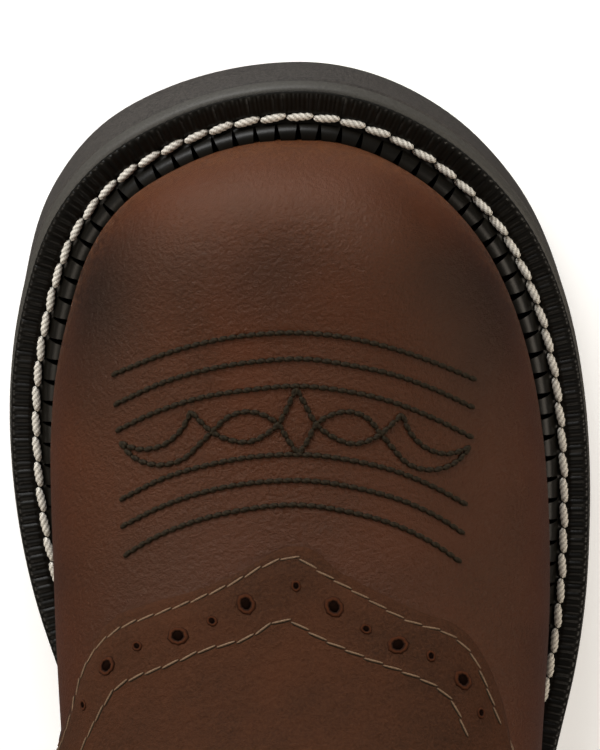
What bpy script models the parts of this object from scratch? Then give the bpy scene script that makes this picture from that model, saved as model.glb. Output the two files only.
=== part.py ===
"""A pull-on western work boot for the right foot, as its maker would put it together.

Frame: metres, +Z up, +Y towards the toe, +X towards the outer side of the foot.
The origin is on the floor under the middle of the heel.

A turn runs around the sole's edge: 0 at the toe, positive on the outer side, pi at the back of the heel.
A station runs along the last: 0 at the toe, 1 at the back of the heel seat, 2 at the collar.
"""

import functools
import math

import bmesh
import bpy
import numpy as np
from mathutils import Vector

# Sizes of the whole boot
SOLE_LENGTH = 0.270
BALL_WIDTH = 0.104
HEEL_BACK = 0.035
TOE_SPRING = 0.014
HEEL_HEIGHT = 0.027
TOE_BOX_HEIGHT = 0.0440
INSTEP_HEIGHT = 0.1250
SHAFT_HEIGHT = 0.2350
SHAFT_DEPTH = 0.1260
SHAFT_WIDTH = 0.0880
SHAFT_LEAN = 0.0090
BACK_CURVE = 0.0100
SCALLOP_DEPTH = 0.0220

# Stations before and after the heel's corner over which its path is rounded
HEEL_ROUND = 0.4

# Layers of the bottom, from the floor up, with GAP between neighbours
OUTSOLE_THICKNESS = 0.0080
MIDSOLE_THICKNESS = 0.0028
WELT_THICKNESS = 0.0024
INSOLE_THICKNESS = 0.0030
INSOLE_CLEARANCE = 0.0022
SOLE_UNDERCUT = 0.0006
TOE_FLARE = 0.0016
MIDSOLE_BEVEL = 0.0008
GAP = 0.0003

# Line of the sole in side view, as shares of SOLE_LENGTH from the toe
FLAT_FROM = 0.315
FLAT_TO = 0.400
SEAT_FROM = 0.715
HEEL_BREAST = 0.735
SPRING_CURVE = 2.6

# Heel
HEEL_TAPER = 0.0030
HEEL_LIFT_HEIGHT = 0.0070
BREAST_HOLLOW = 0.0040

# Welt, measured inwards from the sole's edge
WELT_SET_BACK = 0.0004
WELT_BEVEL = 0.0006
RIDGE_FROM = 0.0051
RIDGE_SLOPE = 0.0013
RIDGE_HEIGHT = 0.0024
WELT_TUCK = 0.0020
WELT_CLEARANCE = 0.0005
TRIM = 0.0015

# Upper and what is sewn on it
UPPER_WALL = 0.0024
UPPER_REACH = 0.0090
TOE_LEAN = 0.0012
OVERLAY_THICKNESS = 0.0014
BEAD_RADIUS = 0.0015
PIPING_WIDTH = 0.0050
PIPING_FOOT = 0.0880
STRAP_WIDTH = 0.0280
STRAP_THICKNESS = 0.0018
STRAP_DROP = 0.0450
STRAP_RISE = 0.0200
STRAP_SPREAD = 0.0058
STRAP_CLEARANCE = 0.0007
COUNTER_LENGTH = 0.0650
COUNTER_HEIGHT = 0.0600

# Tread
GROOVE_DEPTH = 0.0025
GROOVE_WIDTH = 0.0040
GROOVE_PITCH = 0.0105
GROOVE_POINT = 0.0060
TREAD_RIM = 0.0080
TREAD_FROM = 0.080
TREAD_TO = 0.440

# How finely the curved forms are divided
SOLE_STEPS = 32
FOOT_ROWS = 26
SHAFT_ROWS = 12
SIDE_COLUMNS = 13
GIRTH_ACROSS = 0.66
STRAP_COLUMNS = 5
FEATHER_STEPS = 180
ROUNDING_MOVES = (-0.50, -0.33, -0.17, 0.0, 0.17, 0.33, 0.50)
FOOT_HOLD = 8

# Rows of the upper where overlays begin and end
SADDLE_FIRST_ROW = 5
COUNTER_FIRST_ROW = 12
COUNTER_LAST_ROW = 8
ANKLE_ROW = 3

MEDIAL = -1
LATERAL = 1
SIDE_NAMES = {MEDIAL: "medial", LATERAL: "lateral"}

TOE_TIP = SOLE_LENGTH - HEEL_BACK

# The sole's upper edge: shares of SOLE_LENGTH from the toe, and half widths as shares of BALL_WIDTH
OUTLINE = (
    ("from_toe", "medial", "lateral"),
    (0.000, 0.000, 0.000),
    (0.020, 0.223, 0.193),
    (0.050, 0.344, 0.301),
    (0.090, 0.424, 0.388),
    (0.140, 0.470, 0.448),
    (0.200, 0.496, 0.485),
    (0.250, 0.497, 0.498),
    (0.300, 0.484, 0.500),
    (0.350, 0.457, 0.494),
    (0.400, 0.416, 0.476),
    (0.440, 0.380, 0.452),
    (0.500, 0.334, 0.411),
    (0.580, 0.300, 0.370),
    (0.660, 0.294, 0.343),
    (0.760, 0.312, 0.328),
    (0.860, 0.325, 0.325),
    (0.930, 0.289, 0.288),
    (0.975, 0.203, 0.202),
    (1.000, 0.000, 0.000),
)

# How far inside the sole's edge the upper stands on the midsole, as shares of UPPER_REACH
REACH = (
    ("from_toe", "medial", "lateral"),
    (0.00, 1.00, 1.00),
    (0.15, 1.07, 1.10),
    (0.30, 1.02, 1.09),
    (0.45, 0.86, 1.00),
    (0.60, 0.77, 0.86),
    (0.70, 0.68, 0.70),
    (0.80, 0.42, 0.42),
    (1.00, 0.35, 0.35),
)

# How far the sole's wall flares outwards from top to bottom, as shares of TOE_FLARE
FLARE = (
    ("from_toe", "medial", "lateral"),
    (0.00, 0.00, 0.00),
    (0.03, 0.90, 0.35),
    (0.08, 1.00, 0.40),
    (0.15, 0.50, 0.30),
    (0.25, 0.10, 0.10),
    (0.35, 0.00, 0.00),
    (1.00, 0.00, 0.00),
)

# Sections of the last from the toe to the back of the heel seat
# top_back: where the top line is, behind the tip of the upper, as a share of SOLE_LENGTH
# toe_rise: its height over the midsole as a share of TOE_BOX_HEIGHT, to which instep_rise adds a share
# of what INSTEP_HEIGHT has over TOE_BOX_HEIGHT
# medial, lateral: largest half widths as shares of BALL_WIDTH
# girth: how high those widths lie. crown: how square the shoulders are, with 2 for an ellipse
# rounding: 0 where the wall comes straight down to the sole, 1 where it closes round the heel
LAST = (
    ("station", "top_back", "toe_rise", "instep_rise", "medial", "lateral", "girth", "crown", "rounding"),
    (0.0000, 0.0000, 0.000, 0.000, 0.000, 0.000, 0.34, 2.20, 0.00),
    (0.0417, 0.0000, 0.330, 0.000, 0.050, 0.050, 0.34, 2.20, 0.00),
    (0.0833, 0.0075, 0.570, 0.000, 0.110, 0.110, 0.34, 2.20, 0.00),
    (0.1250, 0.0240, 0.740, 0.000, 0.180, 0.170, 0.35, 2.20, 0.00),
    (0.1667, 0.0520, 0.860, 0.000, 0.250, 0.230, 0.36, 2.20, 0.00),
    (0.2083, 0.0900, 0.940, 0.000, 0.310, 0.290, 0.37, 2.20, 0.00),
    (0.2500, 0.1350, 0.985, 0.005, 0.355, 0.340, 0.38, 2.20, 0.00),
    (0.2917, 0.1840, 1.000, 0.025, 0.390, 0.378, 0.39, 2.20, 0.00),
    (0.3333, 0.2360, 1.000, 0.070, 0.408, 0.402, 0.40, 2.15, 0.00),
    (0.3750, 0.2900, 1.000, 0.130, 0.410, 0.410, 0.41, 2.10, 0.00),
    (0.4167, 0.3420, 1.000, 0.210, 0.404, 0.408, 0.42, 2.05, 0.00),
    (0.4583, 0.3880, 1.000, 0.310, 0.394, 0.400, 0.43, 2.00, 0.00),
    (0.5000, 0.4250, 1.000, 0.420, 0.383, 0.390, 0.44, 2.00, 0.00),
    (0.5833, 0.4780, 1.000, 0.620, 0.365, 0.372, 0.45, 2.00, 0.00),
    (0.6667, 0.5060, 1.000, 0.760, 0.355, 0.360, 0.46, 2.00, 0.20),
    (0.7500, 0.5180, 1.000, 0.845, 0.350, 0.353, 0.46, 2.00, 0.70),
    (0.8333, 0.5230, 1.000, 0.905, 0.348, 0.350, 0.46, 2.00, 1.00),
    (0.9167, 0.5240, 1.000, 0.955, 0.347, 0.348, 0.46, 2.00, 1.00),
    (1.0000, 0.5235, 1.000, 1.000, 0.347, 0.347, 0.46, 2.00, 1.00),
)

# Sections of the shaft
# back_lean: share of SHAFT_LEAN. hollow: share of BACK_CURVE, inwards. back_rise, front_rise: shares of the way
# up to SHAFT_HEIGHT. front: share of the way to the collar's front. wide: share of the way to SHAFT_WIDTH
# dip: share of SCALLOP_DEPTH
SHAFT = (
    ("station", "back_lean", "hollow", "back_rise", "front", "front_rise", "wide", "girth", "dip"),
    (1.00, 0.00, 0.00, 0.000, 0.00, 0.000, 0.00, 0.460, 0.00),
    (1.10, 0.05, -0.26, 0.105, -0.20, 0.095, 0.00, 0.462, 0.00),
    (1.20, 0.10, -0.16, 0.210, -0.35, 0.190, 0.02, 0.466, 0.00),
    (1.30, 0.17, 0.28, 0.315, -0.40, 0.290, 0.08, 0.471, 0.00),
    (1.40, 0.26, 0.62, 0.420, -0.33, 0.390, 0.18, 0.476, 0.02),
    (1.50, 0.37, 0.72, 0.520, -0.15, 0.490, 0.31, 0.482, 0.08),
    (1.60, 0.49, 0.60, 0.620, 0.10, 0.590, 0.46, 0.488, 0.20),
    (1.70, 0.62, 0.40, 0.720, 0.36, 0.695, 0.61, 0.493, 0.38),
    (1.80, 0.75, 0.21, 0.815, 0.60, 0.800, 0.76, 0.497, 0.60),
    (1.90, 0.88, 0.07, 0.908, 0.81, 0.900, 0.89, 0.500, 0.81),
    (2.00, 1.00, 0.00, 1.000, 1.00, 1.000, 1.00, 0.500, 1.00),
)

# Front edge of the saddle from above: shares of BALL_WIDTH, and shares of SOLE_LENGTH from the toe
SADDLE_FRONT = (
    ("across", "from_toe"),
    (-0.520, 0.500),
    (-0.400, 0.424),
    (-0.376, 0.393),
    (-0.352, 0.364),
    (-0.330, 0.345),
    (-0.301, 0.327),
    (-0.251, 0.315),
    (-0.165, 0.301),
    (-0.111, 0.290),
    (-0.061, 0.277),
    (-0.032, 0.270),
    (-0.006, 0.268),
    (0.023, 0.273),
    (0.057, 0.284),
    (0.107, 0.297),
    (0.157, 0.309),
    (0.207, 0.321),
    (0.255, 0.332),
    (0.282, 0.344),
    (0.303, 0.359),
    (0.322, 0.377),
    (0.338, 0.398),
    (0.346, 0.416),
    (0.520, 0.520),
)

# Rear edge of the saddle from the side: shares of SOLE_LENGTH from the toe, and of INSTEP_HEIGHT over the midsole
SADDLE_REAR = (
    ("from_toe", "rise"),
    (0.680, 0.000),
    (0.650, 0.200),
    (0.610, 0.400),
    (0.560, 0.600),
    (0.490, 0.820),
    (0.420, 1.050),
)

# Upper edge of the counter from the side: shares of COUNTER_LENGTH forward from the back, and of COUNTER_HEIGHT
COUNTER_EDGE = (
    ("forward", "rise"),
    (1.00, 0.01),
    (0.97, 0.20),
    (0.86, 0.48),
    (0.66, 0.72),
    (0.42, 0.90),
    (0.20, 0.98),
    (-0.30, 1.02),
)

# A pull strap over the collar: shares of STRAP_RISE, and of the way from its legs out to STRAP_SPREAD
STRAP_ARCH = (
    ("rise", "spread"),
    (0.00, 0.00),
    (0.14, 0.10),
    (0.32, 0.48),
    (0.54, 0.86),
    (0.74, 1.00),
    (0.90, 0.66),
    (1.00, 0.00),
)

SOLE_BLACK = "#35322f"
SOLE_GREY = "#57524c"
WELT_BLACK = "#15120f"
LEATHER_BROWN = "#4c3023"
SADDLE_BROWN = "#4a2e20"
PIPING_BROWN = "#33211a"
STRAP_BROWN = "#3b261c"
BOARD_TAN = "#8a6b4c"


def clear_scene():
    for old in list(bpy.data.objects):
        bpy.data.objects.remove(old)


def new_collection(name):
    collection = bpy.data.collections.new(name)
    bpy.context.scene.collection.children.link(collection)
    return collection


def linear_colour(sheet_colour):
    """Linear RGBA of an sRGB hex colour."""
    values = [int(sheet_colour[place:place + 2], 16) / 255 for place in (1, 3, 5)]
    return [value / 12.92 if value <= 0.04045 else ((value + 0.055) / 1.055) ** 2.4 for value in values] + [1.0]


def material(name, colour, roughness):
    new = bpy.data.materials.new(name)
    new.use_nodes = True
    shader = new.node_tree.nodes["Principled BSDF"]
    shader.inputs["Base Color"].default_value = linear_colour(colour)
    shader.inputs["Roughness"].default_value = roughness
    shader.inputs["Metallic"].default_value = 0.0
    return new


def add_object(bm, name, collection, look=None):
    mesh = bpy.data.meshes.new(name)
    bm.to_mesh(mesh)
    bm.free()
    item = bpy.data.objects.new(name, mesh)
    collection.objects.link(item)
    if look:
        mesh.materials.append(look)
        mesh.shade_smooth()
        mesh.set_sharp_from_angle(angle=math.radians(35))
    return item


def add_cutter(bm, name):
    cutter = add_object(bm, name, CUTTERS)
    cutter.display_type = "WIRE"
    cutter.hide_render = True
    return cutter


def add_boolean(item, cutter, operation):
    cut = item.modifiers.new(cutter.name, "BOOLEAN")
    cut.operation = operation
    cut.solver = "EXACT"
    cut.object = cutter


def add_solidify(item, thickness, offset):
    wall = item.modifiers.new("Wall", "SOLIDIFY")
    wall.thickness = thickness
    wall.offset = offset


@functools.lru_cache(maxsize=None)
def column(table, name, by_turn):
    """Places, values and slopes of one column of a table."""
    rows = np.array(table[1:])
    places = np.arccos(1 - 2 * rows[:, 0]) if by_turn else rows[:, 0]
    values = rows[:, table[0].index(name)]
    return places, values, np.gradient(values, places)


def read(table, name, at, by_turn=False):
    """Smooth value of a table's column at a place in its first column, or at a turn round the edge."""
    places, values, slopes = column(table, name, by_turn)
    at = min(max(at, places[0]), places[-1])
    row = min(int(np.searchsorted(places, at, side="right")) - 1, len(places) - 2)
    span = places[row + 1] - places[row]
    part = (at - places[row]) / span
    rise = values[row + 1] - values[row]
    ease = part * part * (3 - 2 * part)
    bend = part * (1 - part) * span * ((1 - part) * slopes[row] - part * slopes[row + 1])
    return float(values[row] + rise * ease + bend)


def smooth_step(part):
    part = min(max(part, 0.0), 1.0)
    return part * part * (3 - 2 * part)


def between(start, end, part):
    return start + (end - start) * part


def from_toe(y):
    return (TOE_TIP - y) / SOLE_LENGTH


def at_share(share):
    return TOE_TIP - share * SOLE_LENGTH


def turn_of(share):
    return math.acos(1 - 2 * min(max(share, 0.0), 1.0))


def ground(y):
    """Height of the sole's underside, with toe spring and the rise to the heel."""
    share = from_toe(y)
    spring = TOE_SPRING * max(1 - share / FLAT_FROM, 0.0) ** SPRING_CURVE
    return spring + HEEL_HEIGHT * smooth_step((share - FLAT_TO) / (SEAT_FROM - FLAT_TO))


def footbed(y):
    """Height at which the upper and the insole stand on the midsole."""
    return ground(y) + OUTSOLE_THICKNESS + MIDSOLE_THICKNESS + 2 * GAP


def plain_edge(turn):
    turn = (turn + math.pi) % math.tau - math.pi
    side = LATERAL if turn > 0 else MEDIAL
    half = read(OUTLINE, SIDE_NAMES[side], abs(turn), by_turn=True) * BALL_WIDTH
    return Vector((side * half, at_share((1 - math.cos(turn)) / 2)))


def edge(turn, inset):
    """Point of the sole's edge in plan, moved straight inwards."""
    step = 0.002
    along = (plain_edge(turn + step) - plain_edge(turn - step)).normalized()
    return plain_edge(turn) + Vector((along.y, -along.x)) * inset


def reach(turn):
    side = LATERAL if turn > 0 else MEDIAL
    return UPPER_REACH * read(REACH, SIDE_NAMES[side], (1 - math.cos(turn)) / 2)


@functools.lru_cache(maxsize=None)
def feather_line(side):
    """Ys and half widths of the line where the upper stands on the midsole, from the toe back."""
    turns = np.linspace(0.0, math.pi, FEATHER_STEPS + 1)
    points = [edge(side * turn, reach(side * turn)) for turn in turns]
    points[0].x = points[-1].x = 0.0
    return [point.y for point in points], [side * point.x for point in points]


def feather_ends():
    ys = feather_line(LATERAL)[0]
    return ys[0], ys[-1]


def feather_half(side, y):
    ys, halves = feather_line(side)
    front, back = feather_ends()
    part = np.arccos(np.clip(1 - 2 * (front - np.array(ys)) / (front - back), -1.0, 1.0))
    here = math.acos(min(max(1 - 2 * (front - y) / (front - back), -1.0), 1.0))
    return float(np.interp(here, part, halves))


def foot_section(station):
    """Side view ends and sizes of a section of the last."""
    front, back = feather_ends()
    y = between(front, back, (1 - math.cos(math.pi * station)) / 2)
    top_y = front - read(LAST, "top_back", station) * SOLE_LENGTH
    rise = read(LAST, "toe_rise", station) * TOE_BOX_HEIGHT
    rise += read(LAST, "instep_rise", station) * (INSTEP_HEIGHT - TOE_BOX_HEIGHT)
    section = {
        "bottom": Vector((y, footbed(y))),
        "top": Vector((top_y, footbed(top_y) + rise)),
        "girth": read(LAST, "girth", station),
        "crown": read(LAST, "crown", station),
        "rounding": read(LAST, "rounding", station),
        "dip": 0.0,
    }
    for side, name in SIDE_NAMES.items():
        foot = feather_half(side, y)
        leaning = foot + TOE_LEAN * math.sin(math.pi * min(station, 0.5))
        full = read(LAST, name, station) * BALL_WIDTH
        section[side] = (leaning + full + math.hypot(leaning - full, TOE_LEAN * min(station * 8, 1.0))) / 2
        section[side, "foot"] = foot
    return section


def shaft_section(station):
    """The same for the shaft, from the heel and instep up to the collar."""
    base = foot_section(1.0)
    collar_back = base["bottom"].x - SHAFT_LEAN
    collar_front = collar_back + SHAFT_DEPTH
    back_y = base["bottom"].x - SHAFT_LEAN * read(SHAFT, "back_lean", station)
    back_y += BACK_CURVE * read(SHAFT, "hollow", station)
    back_z = between(base["bottom"].y, SHAFT_HEIGHT, read(SHAFT, "back_rise", station))
    front_y = between(base["top"].x, collar_front, read(SHAFT, "front", station))
    front_z = between(base["top"].y, SHAFT_HEIGHT, read(SHAFT, "front_rise", station))
    section = {
        "bottom": Vector((back_y, back_z)),
        "top": Vector((front_y, front_z)),
        "girth": read(SHAFT, "girth", station),
        "crown": 2.0,
        "rounding": 1.0,
        "dip": SCALLOP_DEPTH * read(SHAFT, "dip", station),
    }
    for side in SIDE_NAMES:
        section[side] = between(base[side], SHAFT_WIDTH / 2, read(SHAFT, "wide", station))
        section[side, "foot"] = 0.0
    return section


def plain_section(station):
    return foot_section(station) if station <= 1 else shaft_section(station)


@functools.lru_cache(maxsize=None)
def section_at(station):
    """A section of last or shaft. Near the heel's corner its ends follow a rounded path."""
    section = plain_section(station)
    section["inner_bottom"] = section["bottom"]
    near = 1 - abs(station - 1) / HEEL_ROUND
    if near > 0:
        share = smooth_step(near)
        around = [plain_section(station + HEEL_ROUND * move) for move in ROUNDING_MOVES]
        for end, kept in (("bottom", "inner_bottom"), ("top", "top")):
            mean = sum((other[end] for other in around), Vector((0.0, 0.0))) / len(around)
            section[kept] = section[end].lerp(mean, share)
    return section


def section_point(section, across):
    """Point of a section: across is -1 at its medial foot, 0 on top and 1 at its lateral foot."""
    side = LATERAL if across > 0 else MEDIAL
    part = abs(across)
    wide, foot, girth = section[side], section[side, "foot"], section["girth"]
    if part <= GIRTH_ACROSS:
        angle = (1 - part / GIRTH_ACROSS) * math.pi / 2
        power = 2 / section["crown"]
        half = wide * max(math.cos(angle), 0.0) ** power if part else 0.0
        height = girth + (1 - girth) * math.sin(angle) ** power
    else:
        fall = math.sin((part - GIRTH_ACROSS) / (1 - GIRTH_ACROSS) * math.pi / 2)
        power = 1 + section["rounding"]
        half = (wide ** power - fall * fall * (wide ** power - foot ** power)) ** (1 / power)
        height = girth * (1 - fall)
    base = section["inner_bottom"].lerp(section["bottom"], (1 - height) ** FOOT_HOLD)
    place = base.lerp(section["top"], height)
    dip = section["dip"] * math.cos(math.pi * part) ** 2
    return Vector((side * half, place.x, place.y - dip))


def half_at(side, y, z):
    """Half width of the shaft's outer face at a place in side view."""
    low, high = 1.0, 2.0
    for _ in range(30):
        middle = (low + high) / 2
        section = shaft_section(middle)
        chord = section["top"] - section["bottom"]
        over = chord.x * (z - section["bottom"].y) - chord.y * (y - section["bottom"].x)
        low, high = (middle, high) if over > 0 else (low, middle)
    section = shaft_section((low + high) / 2)
    chord = section["top"] - section["bottom"]
    height = (y - section["bottom"].x) / chord.x
    span = 1 - section["girth"] if height > section["girth"] else section["girth"]
    return section[side] * math.sqrt(max(1 - ((height - section["girth"]) / span) ** 2, 0.0))


def stations():
    foot = [row / FOOT_ROWS for row in range(FOOT_ROWS + 1)]
    return foot + [1 + row / SHAFT_ROWS for row in range(1, SHAFT_ROWS + 1)]


def upper_rows(first=0.0, last=2.0):
    """Rows of points over the upper's outer face. Their feet reach below the midsole's top, to be trimmed."""
    places = [place / SIDE_COLUMNS for place in range(-SIDE_COLUMNS, SIDE_COLUMNS + 1)]
    rows = []
    for station in stations():
        if not first - 1e-6 <= station <= last + 1e-6:
            continue
        section = section_at(station)
        row = [section_point(section, across) for across in places]
        down = Vector((0.0, 0.0, -1.0))
        if station == 0:
            row = [point + down * TRIM for point in row]
        elif station < 1 + 1e-6:
            for end, inner in ((0, 1), (-1, -2)):
                if section["rounding"] < 0.01:
                    down = (row[end] - row[inner]).normalized()
                row[end] += down * (TRIM / -down.z)
        rows.append(row)
    return rows


def add_loft(bm, rows, closed):
    """Quads between rows of points. Closed rows come round to their first point."""
    loops = [[bm.verts.new(point) for point in row] for row in rows]
    count = len(rows[0])
    for lower, upper in zip(loops, loops[1:]):
        for place in range(count if closed else count - 1):
            after = (place + 1) % count
            bm.faces.new((lower[place], lower[after], upper[after], upper[place]))
    return loops


def upper_surface(first=0.0, last=2.0, grow=0.0):
    """Outer face of the upper as an open mesh of triangles, grown outwards."""
    bm = bmesh.new()
    add_loft(bm, upper_rows(first, last), closed=False)
    bmesh.ops.remove_doubles(bm, verts=bm.verts, dist=1e-6)
    bmesh.ops.triangulate(bm, faces=bm.faces, quad_method="FIXED")
    bmesh.ops.recalc_face_normals(bm, faces=bm.faces)
    widest = max(bm.faces, key=lambda face: face.calc_center_median().x)
    if widest.normal.x < 0:
        bmesh.ops.reverse_faces(bm, faces=bm.faces)
    bm.normal_update()
    for vert, normal in [(vert, vert.normal.copy()) for vert in bm.verts]:
        vert.co += normal * grow
    return bm


def add_welt_cutter():
    """The last's form up to the ankle, grown and closed, to cut the welt to the upper."""
    bm = bmesh.new()
    loops = add_loft(bm, upper_rows(0.0, 1.0 + ANKLE_ROW / SHAFT_ROWS), closed=True)
    bm.faces.new(loops[-1])
    bmesh.ops.remove_doubles(bm, verts=bm.verts, dist=1e-6)
    bmesh.ops.dissolve_degenerate(bm, edges=bm.edges, dist=1e-6)
    bmesh.ops.recalc_face_normals(bm, faces=bm.faces)
    bm.normal_update()
    for vert, normal in [(vert, vert.normal.copy()) for vert in bm.verts]:
        vert.co += normal * WELT_CLEARANCE
    return add_cutter(bm, "welt_cutter")


def sole_turns():
    return [math.pi * step / SOLE_STEPS - math.pi for step in range(2 * SOLE_STEPS)]


def spring_slope(y):
    """Slope of the sole where it springs up to the toe."""
    left = max(1 - from_toe(y) / FLAT_FROM, 0.0)
    return TOE_SPRING * SPRING_CURVE / (FLAT_FROM * SOLE_LENGTH) * left ** (SPRING_CURVE - 1)


def on_sole(turn, inset, height):
    """Point of the bottom's layers. They lie square to the sole where it springs up, and flare a little there."""
    bed_height = OUTSOLE_THICKNESS + MIDSOLE_THICKNESS + 2 * GAP
    depth = max(bed_height - height, 0.0)
    side = SIDE_NAMES[LATERAL if turn > 0 else MEDIAL]
    flare = TOE_FLARE * read(FLARE, side, (1 - math.cos(turn)) / 2) * depth / bed_height
    point = edge(turn, inset - flare)
    slope = spring_slope(point.y)
    fall = depth / math.hypot(1.0, slope)
    return Vector((point.x, point.y + fall * slope, ground(point.y) + height + depth - fall))


def sole_ring(inset, height, extra=lambda turn: 0.0):
    """Ring around the sole at an inset and a height over its underside."""
    return [on_sole(turn, inset + extra(turn), height) for turn in sole_turns()]


def add_sole_cap(bm, loop):
    """Strips across a ring from its medial to its lateral side."""
    for place in range(SOLE_STEPS):
        medial = [loop[place], loop[place + 1]]
        lateral = [loop[-place - 1] if place < SOLE_STEPS - 1 else None, loop[-place] if place else None]
        bm.faces.new([vert for vert in medial + lateral if vert])


def sole_form(profile, extra=lambda turn: 0.0):
    """A form as long as the sole, from its profile of insets and heights, bottom to top."""
    bm = bmesh.new()
    loops = add_loft(bm, [sole_ring(inset, height, extra) for inset, height in profile], closed=True)
    add_sole_cap(bm, loops[0])
    add_sole_cap(bm, loops[-1])
    bmesh.ops.recalc_face_normals(bm, faces=bm.faces)
    return bm


def add_bed_cutter():
    """The form of the midsole grown upwards by the gap, to trim what stands on it."""
    top = OUTSOLE_THICKNESS + MIDSOLE_THICKNESS + 2 * GAP
    return add_cutter(sole_form(((-GAP, 0.0), (-GAP, top))), "bed_cutter")


def prism(bm, outline, top, bottom):
    """A prism between two lists of points over the same outline."""
    loops = add_loft(bm, [bottom(outline), top(outline)], closed=True)
    bm.faces.new(loops[0])
    bm.faces.new(loops[1])


def add_groove_cutter():
    """Chevron grooves across the forefoot, inside a plain rim, with a lug over the flat spot."""
    bm = bmesh.new()
    rest = at_share((FLAT_FROM + FLAT_TO) / 2)
    steps = range(-20, 21)
    for centre in [rest + (step + 0.5) * GROOVE_PITCH for step in steps]:
        if not TREAD_FROM < from_toe(centre) < TREAD_TO:
            continue
        ends = centre - GROOVE_POINT
        left = -(read(OUTLINE, "medial", turn_of(from_toe(ends)), by_turn=True) * BALL_WIDTH - TREAD_RIM)
        right = read(OUTLINE, "lateral", turn_of(from_toe(ends)), by_turn=True) * BALL_WIDTH - TREAD_RIM
        line = [(left, ends), (0.0, centre), (right, ends)]
        front = [(x, y + GROOVE_WIDTH / 2) for x, y in line]
        rear = [(x, y - GROOVE_WIDTH / 2) for x, y in reversed(line)]
        prism(
            bm,
            front + rear,
            top=lambda outline: [Vector((x, y, ground(y) + GROOVE_DEPTH)) for x, y in outline],
            bottom=lambda outline: [Vector((x, y, ground(y) - GROOVE_DEPTH)) for x, y in outline],
        )
    bmesh.ops.recalc_face_normals(bm, faces=bm.faces)
    return add_cutter(bm, "groove_cutter")


def add_outsole():
    profile = (
        (SOLE_UNDERCUT + MIDSOLE_BEVEL, 0.0),
        (SOLE_UNDERCUT, MIDSOLE_BEVEL),
        (0.0, OUTSOLE_THICKNESS),
    )
    outsole = add_object(sole_form(profile), "outsole", BOOT, material("Sole rubber", SOLE_BLACK, 0.55))
    add_boolean(outsole, add_groove_cutter(), "DIFFERENCE")


def add_midsole():
    bottom = OUTSOLE_THICKNESS + GAP
    top = bottom + MIDSOLE_THICKNESS
    profile = ((0.0, bottom), (0.0, top - MIDSOLE_BEVEL), (MIDSOLE_BEVEL, top))
    add_object(sole_form(profile), "midsole", BOOT, material("Midsole rubber", SOLE_GREY, 0.5))


def add_insole(bed):
    bottom = OUTSOLE_THICKNESS + MIDSOLE_THICKNESS + 2 * GAP
    inset = UPPER_WALL + INSOLE_CLEARANCE
    profile = ((inset, bottom - TRIM), (inset, bottom + INSOLE_THICKNESS))
    insole = add_object(sole_form(profile, reach), "insole", BOOT, material("Insole board", BOARD_TAN, 0.8))
    add_boolean(insole, bed, "DIFFERENCE")


def add_welt(bed):
    """Flat strip with an upright ridge, from the heel breast around the toe and back."""
    bottom = OUTSOLE_THICKNESS + MIDSOLE_THICKNESS + 2 * GAP
    top = bottom + WELT_THICKNESS
    ridge = top + RIDGE_HEIGHT
    limit = turn_of(HEEL_BREAST)
    rows = []
    for step in range(-SOLE_STEPS, SOLE_STEPS + 1):
        turn = limit * step / SOLE_STEPS
        inner = max(reach(turn), RIDGE_FROM + RIDGE_SLOPE) + WELT_TUCK
        profile = (
            (WELT_SET_BACK, bottom - TRIM),
            (WELT_SET_BACK, top - WELT_BEVEL),
            (WELT_SET_BACK + WELT_BEVEL, top),
            (RIDGE_FROM, top),
            (RIDGE_FROM + RIDGE_SLOPE, ridge),
            (inner, ridge),
            (inner, bottom - TRIM),
        )
        places = [(edge(turn, inset), height) for inset, height in profile]
        rows.append([Vector((point.x, point.y, ground(point.y) + height)) for point, height in places])
    bm = bmesh.new()
    loops = add_loft(bm, rows, closed=True)
    bm.faces.new(loops[0])
    bm.faces.new(loops[-1])
    bmesh.ops.recalc_face_normals(bm, faces=bm.faces)
    welt = add_object(bm, "welt", BOOT, material("Welt", WELT_BLACK, 0.4))
    add_boolean(welt, add_welt_cutter(), "DIFFERENCE")
    add_boolean(welt, bed, "DIFFERENCE")


def heel_outline(inset):
    """D-shaped outline of the heel with its hollowed breast."""
    start = turn_of(HEEL_BREAST)
    turns = [between(start, math.tau - start, step / SOLE_STEPS) for step in range(SOLE_STEPS + 1)]
    points = [edge(turn, inset) for turn in turns]
    first, last = points[-1], points[0]
    for step in range(1, 8):
        part = step / 8
        place = first.lerp(last, part)
        points.append(Vector((place.x, place.y - BREAST_HOLLOW * (1 - (2 * part - 1) ** 2))))
    return points


def heel_block(name, bottom, top, look):
    """A slice of the heel between two heights, on its taper."""
    bm = bmesh.new()
    rows = []
    for height in (bottom, top):
        inset = SOLE_UNDERCUT + HEEL_TAPER * (1 - height / HEEL_HEIGHT)
        rows.append([Vector((point.x, point.y, height)) for point in heel_outline(inset)])
    loops = add_loft(bm, rows, closed=True)
    bm.faces.new(loops[0])
    bm.faces.new(loops[1])
    bmesh.ops.recalc_face_normals(bm, faces=bm.faces)
    return add_object(bm, name, BOOT, look)


def add_heel():
    heel_block("heel_base", HEEL_LIFT_HEIGHT + GAP, HEEL_HEIGHT - GAP, material("Heel base", SOLE_BLACK, 0.6))
    lift = heel_block("heel_top_lift", 0.0, HEEL_LIFT_HEIGHT, material("Top lift", SOLE_BLACK, 0.7))
    bm = bmesh.new()
    length = BALL_WIDTH * 0.62 - 2 * TREAD_RIM
    for place in (-1, 1):
        made = bmesh.ops.create_cube(bm, size=1.0)
        bmesh.ops.scale(bm, vec=(length, GROOVE_WIDTH, 2 * GROOVE_DEPTH), verts=made["verts"])
        bmesh.ops.translate(bm, vec=(0.0, place * GROOVE_PITCH, 0.0), verts=made["verts"])
    add_boolean(lift, add_cutter(bm, "lift_groove_cutter"), "DIFFERENCE")


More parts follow.
